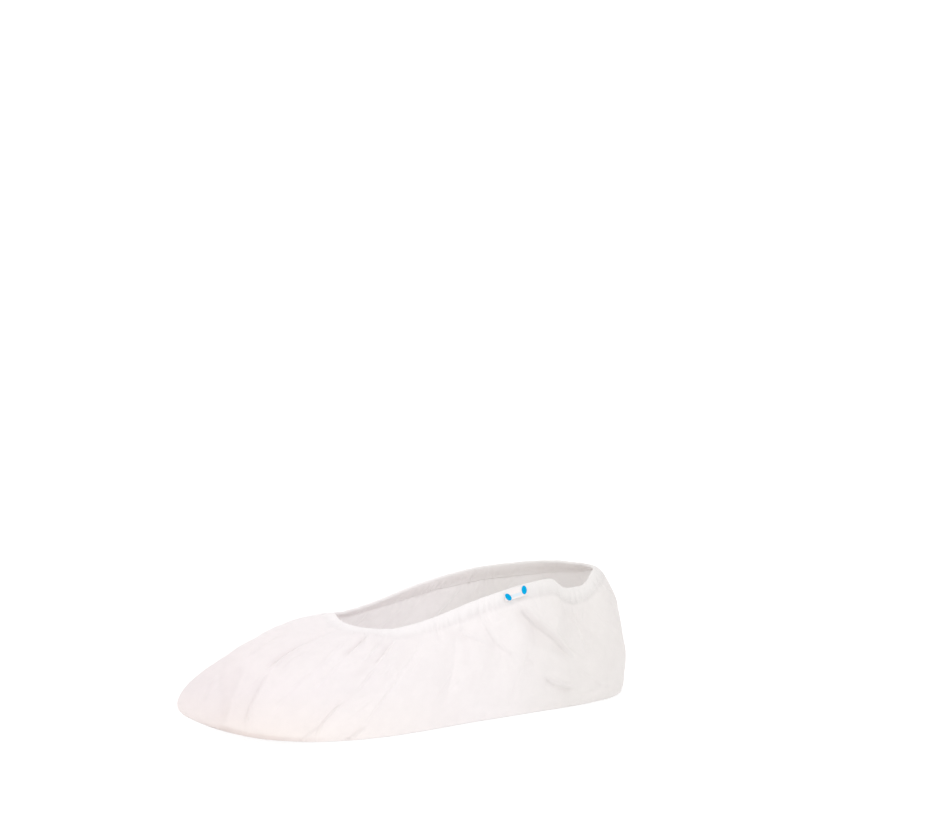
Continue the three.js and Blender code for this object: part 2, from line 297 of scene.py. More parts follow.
@dataclass(frozen=True)
class Gathering:
    """What all the families of gathers share."""

    lean: float = 0.42  # mm towards the heel for each mm down, half way along a side
    mean: float = 0.64  # of |sin|, which is taken off
    depth: Pair = (0.8, 0.7)  # middle and spread, as shares of a family's depth
    depth_limits: Pair = (0.1, 2.0)
    depth_waves: int = 40
    reach: Pair = (1.0, 0.5)  # middle and spread, as shares of a family's reach
    reach_limits: Pair = (0.4, 2.0)
    reach_waves: int = 24
    fall: float = 1.5  # power of the fade below the stitches
    toe: Pair = (0.1, 0.3)  # where round the cover they come to full depth
    toe_share: float = 0.65  # of their depth before that
    top: Pair = (-7.5, -1.0)  # where below the stitches they come to full depth
    top_share: float = 0.4  # of their depth above that
    tab_reach: float = 0.045  # where round the cover the tab presses them down
    tab_share: float = 0.8  # of their depth, pressed away there


@dataclass(frozen=True)
class Crumple:
    """One field of flat facets, a sum of triangle waves round the cover."""

    seed: int
    low: int  # fewest waves round the cover
    high: int  # most waves round the cover
    waves: int  # how many waves are summed
    slant: float = 0.8  # spread of their slopes
    warp: float = 0.9  # how far a slow wave bends each one, in radians
    crisp: float = 0.985  # 1 gives facets with sharp edges

    def lift(self, turn: Array, height: Array) -> Array:
        """Flat facets with crisp edges over the cloth, in units of the lowest wave's height.

        Each wave runs in a random direction, with a whole number of waves round the cover so that it
        joins up with itself. A slow wave bends it, a second one makes it patchy, and the finer it is
        the lower it is, so that all the facets are about as steep.

        Args:
            turn: Share of the way round, from 0 to 1.
            height: Height up the cloth, in mm.

        Returns:
            The lift at each place.
        """
        rng = np.random.default_rng(self.seed)
        step = math.pi / FLAT_HALF
        total = np.zeros(np.broadcast(turn, height).shape)
        for number in rng.integers(self.low, self.high, self.waves):
            slope, bend, patch = rng.normal(0.0, self.slant), rng.integers(2, 7), rng.integers(3, 9)
            shift = rng.uniform(0, 2 * math.pi, 3)
            tilt = rng.normal(0.0, 1.0, 2) * step * 8
            warp = self.warp * np.cos(2 * math.pi * bend * turn + tilt[0] * height + shift[0])
            phase = 2 * math.pi * number * turn + slope * number * step * height + warp + shift[1]
            facet = np.arcsin(self.crisp * np.cos(phase)) * 2 / math.pi
            share = 0.5 + 0.5 * np.cos(2 * math.pi * patch * turn + tilt[1] * height + shift[2])
            total += share * facet * self.low / number
        return total / math.sqrt(self.waves / 4)


@dataclass(frozen=True)
class Facets:
    """The flat facets of the cloth: low at the toe and the heel, and stronger along the sides."""

    form: Crumple = Crumple(seed=11, low=9, high=22, waves=9)
    low: float = 0.7  # depth at the toe and the heel
    more: float = 1.2  # depth added along the sides
    rise: Pair = (0.32, 0.6)  # where round the cover it is added
    fall: Pair = (0.85, 0.97)  # where it is lost again
    foot: Pair = (0.0, 0.12)  # share of the way up over which the facets fade in

    def lift(self, turn: Array, around: Array, up: Array) -> Array:
        """The facets' lift: the crumple by its depth at each place round, faded in above the sole."""
        side = np.abs(around)
        depth = self.low + self.more * ease(side, *self.rise) * (1 - ease(side, *self.fall))
        return depth * ease(up, *self.foot) * self.form.lift(turn, up * FLAT_HEIGHT)


WALL = 1.2  # thickness of the solid's cloth
GAP = 0.3  # between two of the solid's pieces
FOLD_SHARE = 0.5  # how much of the solid's broad folds the fine cloth keeps, beside its creases
SMALL_CREASES = 120
SMALL_SEED = 17
FADE = 0.25  # share of a fold's length over which each of its ends fades
RIDGE = 0.6  # height of a broad fold's ridge, for a valley of one
RIDGE_OFF = 1.7  # how far beside the valley the ridge runs, in widths
FLAT_HALF = 310.0  # the cloth laid flat, from toe to heel
FLAT_HEIGHT = 95.0  # the cloth laid flat, from the sole to the hem
RIM_HALF = 246.0  # the rim from toe to heel

SPRING = Spring()
HEM = Hem()
DIP = RimDip()
GATHERING = Gathering()
FACETS = Facets()
PUCKERS = (
    Pucker(count=94, depth=0.56, reach=6.0, wander=4.5, seed=3),
    Pucker(count=47, depth=0.6, reach=11.0, wander=3.2, seed=5),
    Pucker(count=21, depth=0.45, reach=28.0, wander=1.6, seed=8),
)


# ---------------------------------------------------------------- small maths


def ease(value: Array, low: float, high: float) -> Array:
    """The share of the way from low to high, eased at both ends: 3x^2 - 2x^3 of the clipped share."""
    share = np.clip((value - low) / (high - low), 0.0, 1.0)
    return share * share * (3.0 - 2.0 * share)


def unit(vectors: Array) -> Array:
    """The same directions with a length of one."""
    return vectors / np.maximum(np.linalg.norm(vectors, axis=-1, keepdims=True), 1e-12)


def closed_curve(control: Array, count: int) -> Array:
    """Evenly spaced points on a closed Catmull-Rom curve.

    Each stretch is the cubic through two control points whose slopes are half the step between
    their neighbours, and the points are then spread by arc length.

    Args:
        control: Control points, one row each.
        count: How many points to return.

    Returns:
        The points, the first of them at the first control point.
    """
    fine = 400
    turn = np.arange(len(control) * fine) / fine
    i = turn.astype(int)
    w = (turn - i)[:, None]
    p0, p1, p2, p3 = (control[(i + k) % len(control)] for k in (-1, 0, 1, 2))
    v1, v2 = (p2 - p0) / 2, (p3 - p1) / 2
    curve = (2 * p1 - 2 * p2 + v1 + v2) * w**3 + (-3 * p1 + 3 * p2 - 2 * v1 - v2) * w**2 + v1 * w + p1
    curve = np.vstack([curve, curve[:1]])
    length = np.concatenate([[0.0], np.cumsum(np.linalg.norm(np.diff(curve, axis=0), axis=1))])
    even = np.arange(count) / count * length[-1]
    return np.stack([np.interp(even, length, curve[:, k]) for k in range(3)], axis=1)


def outline(rows: dict[str, Array], count: int) -> Array:
    """Evenly spaced points round a mirrored half outline, near side first.

    Args:
        rows: The half outline, with columns along, half and, where it has one, height.
        count: How many points to return.

    Returns:
        Points as (along, across, height).
    """
    height = rows.get("height", np.zeros(len(rows["along"])))
    near = np.stack([rows["along"], -rows["half"], height], axis=1)
    far = near[-2:0:-1] * (1.0, -1.0, 1.0)
    return closed_curve(np.vstack([near, far]), count)


def outward(ring: Array) -> Array:
    """Level directions that point out of a closed ring, square to the step between neighbours."""
    step = np.roll(ring, -1, axis=0) - np.roll(ring, 1, axis=0)
    return unit(np.stack([step[:, 1], -step[:, 0], np.zeros(len(ring))], axis=1))


def sole_lift(along: Array) -> Array:
    """Height of the sole's underside: a power of the share of the way from the spring's end to the toe."""
    rise = np.clip((SPRING.end - along) / (SPRING.end - SOLE_EDGE["along"][0]), 0.0, None)
    return SPRING.height * rise**SPRING.power


def wander(turn: Array, seed: int, waves: int = 9) -> Array:
    """A smooth random curve round the cover, about -1 to 1, that joins up with itself.

    It is a sum of cosines with whole numbers of waves, seeded phases and falling sizes.

    Args:
        turn: Share of the way round, from 0 to 1.
        seed: Random seed.
        waves: How many cosines are summed.

    Returns:
        The curve's height at each place.
    """
    rng = np.random.default_rng(seed)
    phase = rng.uniform(0, 2 * math.pi, waves)
    number = np.arange(1, waves + 1) + rng.integers(0, 5, waves)
    size = rng.uniform(0.5, 1.0, waves) / np.sqrt(number)
    total = sum(s * np.cos(2 * math.pi * n * turn + p) for s, n, p in zip(size, number, phase))
    return total / np.sqrt((size**2).sum() / 2) / 1.6


def small_creases(count: int, seed: int) -> dict[str, Array]:
    """A table of short, shallow, random creases all over the cloth, with the columns of CREASES.

    Args:
        count: How many creases.
        seed: Random seed.

    Returns:
        The table.
    """
    rng = np.random.default_rng(seed)
    around, up = rng.uniform(-1, 1, count), rng.uniform(0.04, 0.82, count)
    size, lean = rng.uniform(7, 26, count), rng.normal(math.pi / 2, 0.75, count)
    return {
        "around0": around,
        "up0": up,
        "around1": around + size * np.cos(lean) / FLAT_HALF,
        "up1": up + size * np.sin(lean) / FLAT_HEIGHT,
        "bend": rng.normal(0.0, 0.9, count),
        "width": rng.uniform(0.9, 1.5, count),
        "depth": rng.uniform(0.1, 0.32, count),
    }


# ---------------------------------------------------------------- the cloth's form


@dataclass
class ClothForm:
    """The cover's shape: a smooth surface through the tables, with folds, creases and gathers on it.

    Each column is a cubic curve from the sole edge to the rim. It leaves the sole edge outwards and
    upwards, and it reaches the rim from outside and below.

    Attributes:
        columns: How many columns go round.
        origin: The part's origin in the tables' frame, along and across, in mm.
        turn: Share of the way round of each column, from 0 at the toe.
        around: Place round of each column, from 0 at the toe to 1 at the heel, minus on the far side.
        length: Length of each column, from the sole edge to the rim, in mm.
    """

    columns: int
    origin: tuple[float, float]
    turn: Array = field(init=False)
    around: Array = field(init=False)
    length: Array = field(init=False)
    _control: Array = field(init=False, repr=False)
    _reach: Array = field(init=False, repr=False)

    STEPS = 200

    def __post_init__(self) -> None:
        """Works out the columns' control points and their lengths."""
        self.turn = np.arange(self.columns) / self.columns
        self.around = np.where(self.turn <= 0.5, 2 * self.turn, 2 * self.turn - 2)
        foot = outline(SOLE_EDGE, self.columns)
        foot[:, 2] = sole_lift(foot[:, 0]) + WALL + GAP
        rim = outline(RIM, self.columns)
        off = np.abs(self.around - DIP.around) / DIP.reach
        rim[:, 2] -= DIP.depth * np.exp(-(off**DIP.power))
        section = self._section()
        up = np.array([0.0, 0.0, 1.0])
        leave = foot + outward(foot) * section["foot_out"] + up * section["foot_up"]
        reach = rim + outward(rim) * section["rim_out"] - up * section["rim_down"]
        self._control = np.stack([foot, leave, reach, rim])
        fine = self._bezier(np.linspace(0, 1, self.STEPS + 1)[:, None, None])
        step = np.linalg.norm(np.diff(fine, axis=0), axis=2)
        self._reach = np.vstack([np.zeros(self.columns), np.cumsum(step, axis=0)])
        self.length = self._reach[-1]

    def _section(self) -> dict[str, Array]:
        """SECTION's numbers at each column, eased between the rows on each side of it."""
        half, rows = np.abs(self.around), SECTION["around"]
        i = np.clip(np.searchsorted(rows, half - 1e-9), 1, len(rows) - 1)
        share = ease(half, rows[i - 1], rows[i])[:, None]
        names = [name for name in SECTION if name != "around"]
        return {n: SECTION[n][i - 1, None] * (1 - share) + SECTION[n][i, None] * share for n in names}

    def _bezier(self, t: Array) -> Array:
        """Points of the cubic curves at t."""
        p0, p1, p2, p3 = self._control
        s = 1 - t
        return s**3 * p0 + 3 * s * s * t * p1 + 3 * s * t * t * p2 + t**3 * p3

    def _slope(self, t: Array) -> Array:
        """Directions up the cubic curves at t."""
        p0, p1, p2, p3 = self._control
        s = 1 - t
        return unit(3 * s * s * (p1 - p0) + 6 * s * t * (p2 - p1) + 3 * t * t * (p3 - p2))

    def smooth(self, drop: Array) -> tuple[Array, Array]:
        """Points of the smooth surface and its outward directions.

        The parameter of each point is found from its distance along the column's curve. The columns'
        distances are set end to end, so that one sorted search answers for all of them.

        Args:
            drop: Distance below the top of the hem, one row for each ring.

        Returns:
            The points and the directions, in mm, in the tables' frame.
        """
        want = np.clip(self.length - drop, 0.0, self.length)
        far = 10 * self.length.max()
        shift = np.arange(self.columns) * far
        keys = (self._reach + shift).T.ravel()
        place = np.searchsorted(keys, want + shift, side="right") - 1
        place = np.clip(place - np.arange(self.columns) * (self.STEPS + 1), 0, self.STEPS - 1)
        column = np.arange(self.columns)[None, :]
        low, high = self._reach[place, column], self._reach[place + 1, column]
        t = ((place + (want - low) / (high - low)) / self.STEPS)[..., None]
        point, slope = self._bezier(t), self._slope(t)
        over = np.minimum(drop, 0.0)[..., None]
        point = point - slope * over
        across = np.roll(point, -1, axis=1) - np.roll(point, 1, axis=1)
        return point, unit(np.cross(across, slope))

    def gathers(self, drop: Array) -> Array:
        """How far the gathers lift the cloth, in mm.

        Each family is a row of round ridges with tight valleys, |sin| of a wandering phase, that
        dies out below the stitches at its own pace from place to place. They lie flat under the tab.

        Args:
            drop: Distance below the top of the hem, one row for each ring.

        Returns:
            The lift at each point.
        """
        g, side = GATHERING, np.abs(self.around)
        total = np.zeros(np.broadcast(self.turn, drop).shape)
        calm = g.toe_share + (1 - g.toe_share) * ease(side, *g.toe)
        below = np.maximum(drop - HEM.stitch, 0.0)
        lean = g.lean * np.sin(math.pi * np.clip(side, 0, 1)) ** 2
        slanted = self.turn - np.sign(self.around) * lean * below / (2 * RIM_HALF)
        for p in PUCKERS:
            phase = math.pi * p.count * slanted + p.wander * wander(slanted, p.seed)
            ridge = np.abs(np.sin(phase)) - g.mean
            depth = g.depth[0] + g.depth[1] * wander(self.turn, p.seed + 20, g.depth_waves)
            depth = p.depth * np.clip(depth, *g.depth_limits) * calm
            reach = g.reach[0] + g.reach[1] * wander(self.turn, p.seed + 40, g.reach_waves)
            reach = p.reach * np.clip(reach, *g.reach_limits)
            total += depth * ridge * np.exp(-((below / reach) ** g.fall))
        held = g.top_share + (1 - g.top_share) * ease(drop - HEM.stitch, *g.top)
        tab = np.exp(-(((self.around - TAB.around) / g.tab_reach) ** 4))
        return total * held * (1 - g.tab_share * tab)

    def folds(self, drop: Array) -> Array:
        """How far the folds, creases and facets lift the cloth, in mm, fading out in the hem.

        A fold may cross the heel, so each table is laid on three times, a whole turn apart.

        Args:
            drop: Distance below the top of the hem, one row for each ring.

        Returns:
            The lift at each point.
        """
        up = 1 - drop / self.length
        small = small_creases(SMALL_CREASES, SMALL_SEED)
        lift = np.zeros(up.shape)
        for wrapped in (0.0, 2.0, -2.0):
            around = self.around + wrapped
            lift += FOLD_SHARE * fold_lift(FOLDS, around, up, soft_profile)
            lift += fold_lift(CREASES, around, up, crisp_profile)
            lift += fold_lift(small, around, up, crisp_profile)
        lift += FACETS.lift(self.turn, self.around, up)
        return lift * ease(drop, HEM.stitch - 2.0, HEM.drop + 7.0)

    def place(self, points: Array) -> Array:
        """Moves points from the tables' frame, in mm, to the part's frame, in metres."""
        return (points - np.array([self.origin[0], self.origin[1], 0.0])) * MM

    def cloth(self, drop: Array, off: Array | float = 0.0) -> Array:
        """Points of the folded cloth in the part's frame.

        Args:
            drop: Distance below the top of the hem, one row for each ring.
            off: How far the points stand off the cloth, in mm.

        Returns:
            The points, in metres.
        """
        point, out = self.smooth(drop)
        below = np.maximum(drop, 0.0)
        lift = self.gathers(below) + self.folds(below) + off
        return self.place(point + out * lift[..., None])

    def rings(self, drop: Array) -> Array:
        """One row of equal distances for each ring, from one distance for each ring."""
        return np.asarray(drop, float).reshape(-1, 1) + np.zeros(self.columns)


def soft_profile(side: Array) -> Array:
    """A valley with a softer ridge beside it: two bell curves of the distance in widths."""
    return -np.exp(-(side**2)) + RIDGE * np.exp(-((side - RIDGE_OFF) ** 2))


def crisp_profile(side: Array) -> Array:
    """A tucked crease: the cloth sinks slowly to a line and climbs steeply out of it.

    Its depth is an exponential of minus the distance in widths, with a rounded tip, that falls
    slowly on the plus side and fast on the other, where a low bell curve makes a lip.

    Args:
        side: Distance from the line, in widths.

    Returns:
        The lift, for a depth of one.
    """
    tip, slow, fast = 0.2, 2.4, 0.5
    lip, lip_off, lip_spread = 0.4, 1.5, 0.8
    distance = np.sqrt(side**2 + tip**2) - tip
    depth = np.where(side > 0, np.exp(-distance / slow), np.exp(-distance / fast))
    return -depth + lip * np.exp(-((side + lip_off) ** 2) / lip_spread)


def fold_lift(rows: dict[str, Array], around: Array, up: Array, profile: Profile) -> Array:
    """How far a table of folds lifts the cloth.

    The distance from a fold is measured on the cloth laid flat, square to the line between its ends,
    less the bow of its bend, which is a parabola. Each fold fades out at both ends.

    Args:
        rows: The folds' ends, bend, width and depth.
        around: Place round the cover at each column.
        up: Share of the way up the cloth at each point.
        profile: The fold's section, as a function of the distance in widths.

    Returns:
        The lift at each point, in mm.
    """
    total = np.zeros(np.broadcast(around, up).shape)
    for a0, u0, a1, u1, bend, width, depth in zip(*rows.values()):
        dx, dy = (a1 - a0) * FLAT_HALF, (u1 - u0) * FLAT_HEIGHT
        size = math.hypot(dx, dy)
        x, y = (around - a0) * FLAT_HALF, (up - u0) * FLAT_HEIGHT
        share = (x * dx + y * dy) / size**2
        side = (x * dy - y * dx) / size - bend * 4 * share * (1 - share)
        fade = ease(share, 0.0, FADE) * (1 - ease(share, 1 - FADE, 1.0))
        total += depth * fade * profile(side / width)
    return total


# ---------------------------------------------------------------- meshes


def grid_faces(rows: int, columns: int, wrap_rows: bool, wrap_columns: bool) -> Array:
    """The quads of a grid of points, wound so that rows going up on the near side face outwards.

    Args:
        rows: Rows of points.
        columns: Points in each row.
        wrap_rows: Whether the last row joins the first.
        wrap_columns: Whether each row's last point joins its first.

    Returns:
        One quad in each row.
    """
    k = np.arange(rows if wrap_rows else rows - 1)[:, None]
    j = np.arange(columns if wrap_columns else columns - 1)[None, :]
    above, beside = (k + 1) % rows, (j + 1) % columns
    corners = [k * columns + j, k * columns + beside, above * columns + beside, above * columns + j]
    return np.stack(np.broadcast_arrays(*corners), axis=-1).reshape(-1, 4)


def mesh_piece(name: str, points: Array, faces: Array, uv: Array | None = None) -> bpy.types.Object:
    """Puts points and quads into a new smooth mesh object at the origin.

    Args:
        name: The piece's name.
        points: One point in each row, in metres.
        faces: One quad in each row.
        uv: A UV for each point, or None.

    Returns:
        The object, linked to the scene.
    """
    mesh = bpy.data.meshes.new(name)
    mesh.vertices.add(len(points))
    mesh.vertices.foreach_set("co", points.astype(np.float32).ravel())
    mesh.loops.add(faces.size)
    mesh.loops.foreach_set("vertex_index", faces.astype(np.int32).ravel())
    mesh.polygons.add(len(faces))
    mesh.polygons.foreach_set("loop_start", np.arange(0, faces.size, 4, dtype=np.int32))
    mesh.polygons.foreach_set("use_smooth", np.ones(len(faces), bool))
    if uv is not None:
        layer = mesh.uv_layers.new(name="UVMap")
        layer.data.foreach_set("uv", uv[faces.ravel()].astype(np.float32).ravel())
    mesh.update(calc_edges=True)
    mesh.validate()
    piece = bpy.data.objects.new(name, mesh)
    bpy.context.scene.collection.objects.link(piece)
    return piece


def weld(piece: bpy.types.Object) -> None:
    """Merges the points that lie together, which closes a piece's poles.

    Args:
        piece: The piece.
    """
    shell = bmesh.new()
    shell.from_mesh(piece.data)
    bmesh.ops.remove_doubles(shell, verts=shell.verts, dist=0.0001 * MM)
    shell.to_mesh(piece.data)
    shell.free()


def mark(piece: bpy.types.Object, name: str, values: Array) -> None:
    """Stores one number for each point, for a material to read."""
    layer = piece.data.attributes.new(name, "FLOAT", "POINT")
    layer.data.foreach_set("value", values.astype(np.float32).ravel())


def thicken(piece: bpy.types.Object, thickness: float) -> None:
    """Gives an open sheet a wall on its inner side, closed along its edges.

    Args:
        piece: The sheet.
        thickness: The wall's thickness, in mm.
    """
    wall = piece.modifiers.new("wall", "SOLIDIFY")
    wall.thickness = thickness * MM
    wall.offset = -1.0
    wall.use_even_offset = False


def dress(piece: bpy.types.Object, finish: bpy.types.Material, slot: str, *stands_for: str) -> None:
    """Gives a piece its material and its body, and hides the solids that it replaces.

    Args:
        piece: The piece.
        finish: Its material.
        slot: Not used.
        *stands_for: The solids that it replaces.
    """
    piece.data.materials.clear()
    piece.data.materials.append(finish)
    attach(piece, "root")
    if stands_for:
        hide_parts(*stands_for)
    LOG.info("%s: %d vertices before modifiers", piece.name, len(piece.data.vertices))


# ---------------------------------------------------------------- finishes


class Socket(Enum):
    """The kinds of socket that the node group has."""

    FLOAT = "NodeSocketFloat"
    VECTOR = "NodeSocketVector"


class Nodes:
    """A small helper that adds and links shader nodes in one tree."""

    def __init__(self, tree: bpy.types.NodeTree) -> None:
        """Keeps the tree."""
        self.tree = tree

    def add(self, kind: str, **values: object) -> bpy.types.Node:
        """Adds a node, sets its attributes, and sets inputs whose names start with in_.

        Args:
            kind: The node's type.
            **values: Attributes, and in_NAME or in_INDEX for inputs: a number, a colour or a socket.

        Returns:
            The node.
        """
        node = self.tree.nodes.new(kind)
        for key, value in values.items():
            if not key.startswith("in_"):
                setattr(node, key, value)
        for key, value in values.items():
            if key.startswith("in_"):
                name = key.removeprefix("in_").replace("_", " ")
                self.feed(node.inputs[int(name) if name.isdigit() else name], value)
        return node

    def feed(self, socket: bpy.types.NodeSocket, value: object) -> None:
        """Links a socket to another one, or sets its value.

        Args:
            socket: The input.
            value: A socket, or a number or colour.
        """
        if isinstance(value, bpy.types.NodeSocket):
            self.tree.links.new(value, socket)
        else:
            socket.default_value = value

    def maths(self, operation: str, a: object, b: object = 0.0, clamp: bool = False) -> Output:
        """The result of a Math node."""
        return self.add("ShaderNodeMath", operation=operation, use_clamp=clamp, in_0=a, in_1=b).outputs[0]

    def product(self, a: object, b: object) -> Output:
        """One value times another."""
        return self.maths("MULTIPLY", a, b)

    def scaled(self, value: object, size: float, start: float = 0.0) -> Output:
        """A value times a size, plus a start."""
        return self.maths("ADD", self.product(value, size), start)

    def blend(self, share: object, a: object, b: object) -> Output:
        """A colour mixed from a to b."""
        return self._mix("MIX", share, a, b)

    def times(self, share: object, a: object, b: object) -> Output:
        """A colour multiplied by another, by a share from 0 to 1."""
        return self._mix("MULTIPLY", share, a, b)

    def _mix(self, kind: str, share: object, a: object, b: object) -> Output:
        """The result of a Mix node of a kind."""
        node = self.add("ShaderNodeMix", data_type="RGBA", blend_type=kind, in_0=share, in_6=a, in_7=b)
        return node.outputs[2]

    def noise(self, place: Output, scale: float, detail: float, **more: float) -> Output:
        """The value of a Noise texture at a place."""
        node = self.add("ShaderNodeTexNoise", in_Vector=place, in_Scale=scale, in_Detail=detail, **more)
        return node.outputs[0]

    def ranged(self, value: object, low: float, high: float, first: float, last: float) -> Output:
        """A value moved from one range, low to high, to another, first to last, and clipped there."""
        node = self.add("ShaderNodeMapRange", in_0=value, in_1=low, in_2=high, in_3=first, in_4=last)
        return node.outputs[0]

    def bump(self, height: Output, strength: float, distance: float) -> Output:
        """The normal of a Bump node, its distance in metres."""
        node = self.add("ShaderNodeBump", in_Strength=strength, in_Distance=distance, in_Height=height)
        return node.outputs[0]

    def ramp(self, value: object, stops: tuple[tuple[float, Colour], ...]) -> Output:
        """A colour read from stops along a line from 0 to 1.

        Args:
            value: Where along the line to read.
            stops: The colours, each with its place.

        Returns:
            The colour.
        """
        node = self.add("ShaderNodeValToRGB", in_0=value)
        elements = node.color_ramp.elements
        while len(elements) < len(stops):
            elements.new(0.5)
        for element, (place, colour) in zip(elements, stops):
            element.position, element.color = place, colour
        return node.outputs[0]


def shader_group(
    name: str, inputs: list[tuple[str, Socket, float]], outputs: list[tuple[str, Socket]]
) -> tuple[bpy.types.NodeTree, Nodes, bpy.types.Node, bpy.types.Node]:
    """Starts a shader node group with named sockets.

    Args:
        name: The group's name.
        inputs: Name, kind and default of each input.
        outputs: Name and kind of each output.

    Returns:
        The group, its helper, its input node and its output node.
    """
    group = bpy.data.node_groups.new(name, "ShaderNodeTree")
    for label, kind, default in inputs:
        socket = group.interface.new_socket(label, in_out="INPUT", socket_type=kind.value)
        if kind is Socket.FLOAT:
            socket.default_value = default
    for label, kind in outputs:
        group.interface.new_socket(label, in_out="OUTPUT", socket_type=kind.value)
    nodes = Nodes(group)
    return group, nodes, nodes.add("NodeGroupInput"), nodes.add("NodeGroupOutput")


def fibre_group() -> bpy.types.NodeTree:
    """Tangled fibres of a nonwoven: a cloudy mask, a fine streaked mask and a height.

    The streaks are a noise that a second noise bends out of shape, so that they swirl as spun
    fibres do, and the clouds are where the web is thicker.

    Returns:
        The group, which reads a place and a size.
    """
    group, n, start, end = shader_group(
        "spun_fibres",
        [("Vector", Socket.VECTOR, 0.0), ("Size", Socket.FLOAT, 1.0)],
        [("Clouds", Socket.FLOAT), ("Streaks", Socket.FLOAT), ("Height", Socket.FLOAT)],
    )
    place = n.add("ShaderNodeVectorMath", operation="SCALE", in_0=start.outputs["Vector"])
    n.feed(place.inputs["Scale"], start.outputs["Size"])
    clouds = n.noise(place.outputs[0], 130.0, 4.0, in_Roughness=0.62)
    streaks = n.noise(place.outputs[0], 420.0, 6.0, in_Roughness=0.7, in_Distortion=3.2)
    pores = n.noise(place.outputs[0], 1900.0, 2.0, in_Roughness=0.6)
    n.feed(end.inputs["Clouds"], clouds)
    n.feed(end.inputs["Streaks"], streaks)
    n.feed(end.inputs["Height"], n.maths("ADD", n.product(streaks, 0.65), n.product(pores, 0.35)))
    return group


def new_material(name: str) -> tuple[bpy.types.Material, Nodes, bpy.types.Node]:
    """A material with one Principled BSDF, its node helper and that shader.

    Args:
        name: The material's name.

    Returns:
        The three.
    """
    material = bpy.data.materials.new(name)
    material.use_nodes = True
    tree = material.node_tree
    tree.nodes.clear()
    nodes = Nodes(tree)
    shader = nodes.add("ShaderNodeBsdfPrincipled")
    out = nodes.add("ShaderNodeOutputMaterial")
    tree.links.new(shader.outputs[0], out.inputs[0])
    return material, nodes, shader


@dataclass(frozen=True)
class NonwovenFinish:
    """Crisp spun cloth with swirled fibres, whose white shifts from the toe to the heel, with painted
    shade at the toe tip and a painted shadow at the heel.

    Attributes:
        name: The material's name.
        stops: Colours from the toe to the heel, each with how far along it stands, from 0 to 1: a slight
            shift of tint, with painted shade darkening the toe tip and a painted shadow darkening the
            heel.
        painted_bounce_tint: The painted bounce light, brighter and warmer, that the low part of the toe is
            multiplied by.
        painted_edge_shade: The painted shade that the lowest edge at the toe, where the cloth turns under,
            is multiplied by.
        thin: Brightness of the web where it is thinnest.
        size: Scale of the fibres.
        through: Share of the light that passes through single cloth.
    """

    name: str
    stops: tuple[tuple[float, Colour], ...]
    painted_bounce_tint: Colour = (1.0, 1.0, 1.0, 1.0)
    painted_edge_shade: Colour = (1.0, 1.0, 1.0, 1.0)
    thin: float = 0.98
    roughness: float = 0.62
    sheen: float = 0.12
    bump: float = 0.35
    size: float = 1.0
    through: float = 0.3

    def build(self, fibres: bpy.types.NodeTree, reach: tuple[float, float]) -> bpy.types.Material:
        """Builds the material.

        Args:
            fibres: The spun_fibres group.
            reach: X of the toe and the heel, between which the tint changes.

        Returns:
            The material.
        """
        material, n, shader = new_material(self.name)
        place = n.add("ShaderNodeTexCoord").outputs["Object"]
        web = n.add("ShaderNodeGroup", node_tree=fibres, in_Vector=place, in_Size=self.size)
        split = n.add("ShaderNodeSeparateXYZ", in_Vector=place)
        along = n.ranged(split.outputs["X"], *reach, 0.0, 1.0)
        # painted bounce light: a mask low on the toe, where the colour is brightened and warmed
        low = n.ranged(split.outputs["Z"], 0.034, 0.008, 0.0, 1.0)
        low = n.product(low, n.ranged(along, 0.55, 0.1, 0.0, 1.0))
        # painted shade: a mask darkens the lowest edge at the toe, where the cloth turns under towards the
        # sole
        painted_edge_shade = n.add("ShaderNodeAttribute", attribute_name="painted_edge_shade").outputs["Fac"]
        mottle = n.ranged(web.outputs["Clouds"], 0.35, 0.65, self.thin, 1.0)
        shade = n.ranged(web.outputs["Streaks"], 0.3, 0.7, 0.975, 1.0)
        both = n.product(mottle, shade)
        grey = n.add("ShaderNodeCombineColor", in_Red=both, in_Green=both, in_Blue=both)
        # the ramp from the toe to the heel holds painted shade at the toe tip and a painted shadow at the
        # heel
        colour = n.times(1.0, n.ramp(along, self.stops), grey.outputs[0])
        # painted bounce light low on the toe and painted shade along its lowest edge multiply the colour
        colour = n.times(painted_edge_shade, n.times(low, colour, self.painted_bounce_tint), self.painted_edge_shade)
        n.feed(shader.inputs["Base Color"], colour)
        n.feed(shader.inputs["Roughness"], n.scaled(web.outputs["Streaks"], 0.16, self.roughness - 0.08))
        n.feed(shader.inputs["Normal"], n.bump(web.outputs["Height"], self.bump, 0.2 * MM))
        shader.inputs["Sheen Weight"].default_value = self.sheen
        shader.inputs["Sheen Roughness"].default_value = 0.4
        shader.inputs["Specular IOR Level"].default_value = 0.35
        self._let_light_through(n, shader, colour)
        return material

    def _let_light_through(self, n: Nodes, shader: bpy.types.Node, colour: Output) -> None:
        """Mixes in a translucent share where the cloth is single, so that light reaches the inside.

        Args:
            n: The material's node helper.
            shader: Its Principled BSDF.
            colour: The cloth's colour.
        """
        through = n.add("ShaderNodeBsdfTranslucent", in_Color=colour)
        single = n.add("ShaderNodeAttribute", attribute_name="single").outputs["Fac"]
        share = n.product(single, self.through)
        mixed = n.add("ShaderNodeMixShader", in_0=share, in_1=shader.outputs[0], in_2=through.outputs[0])
        out = next(node for node in n.tree.nodes if node.type == "OUTPUT_MATERIAL")
        n.feed(out.inputs[0], mixed.outputs[0])


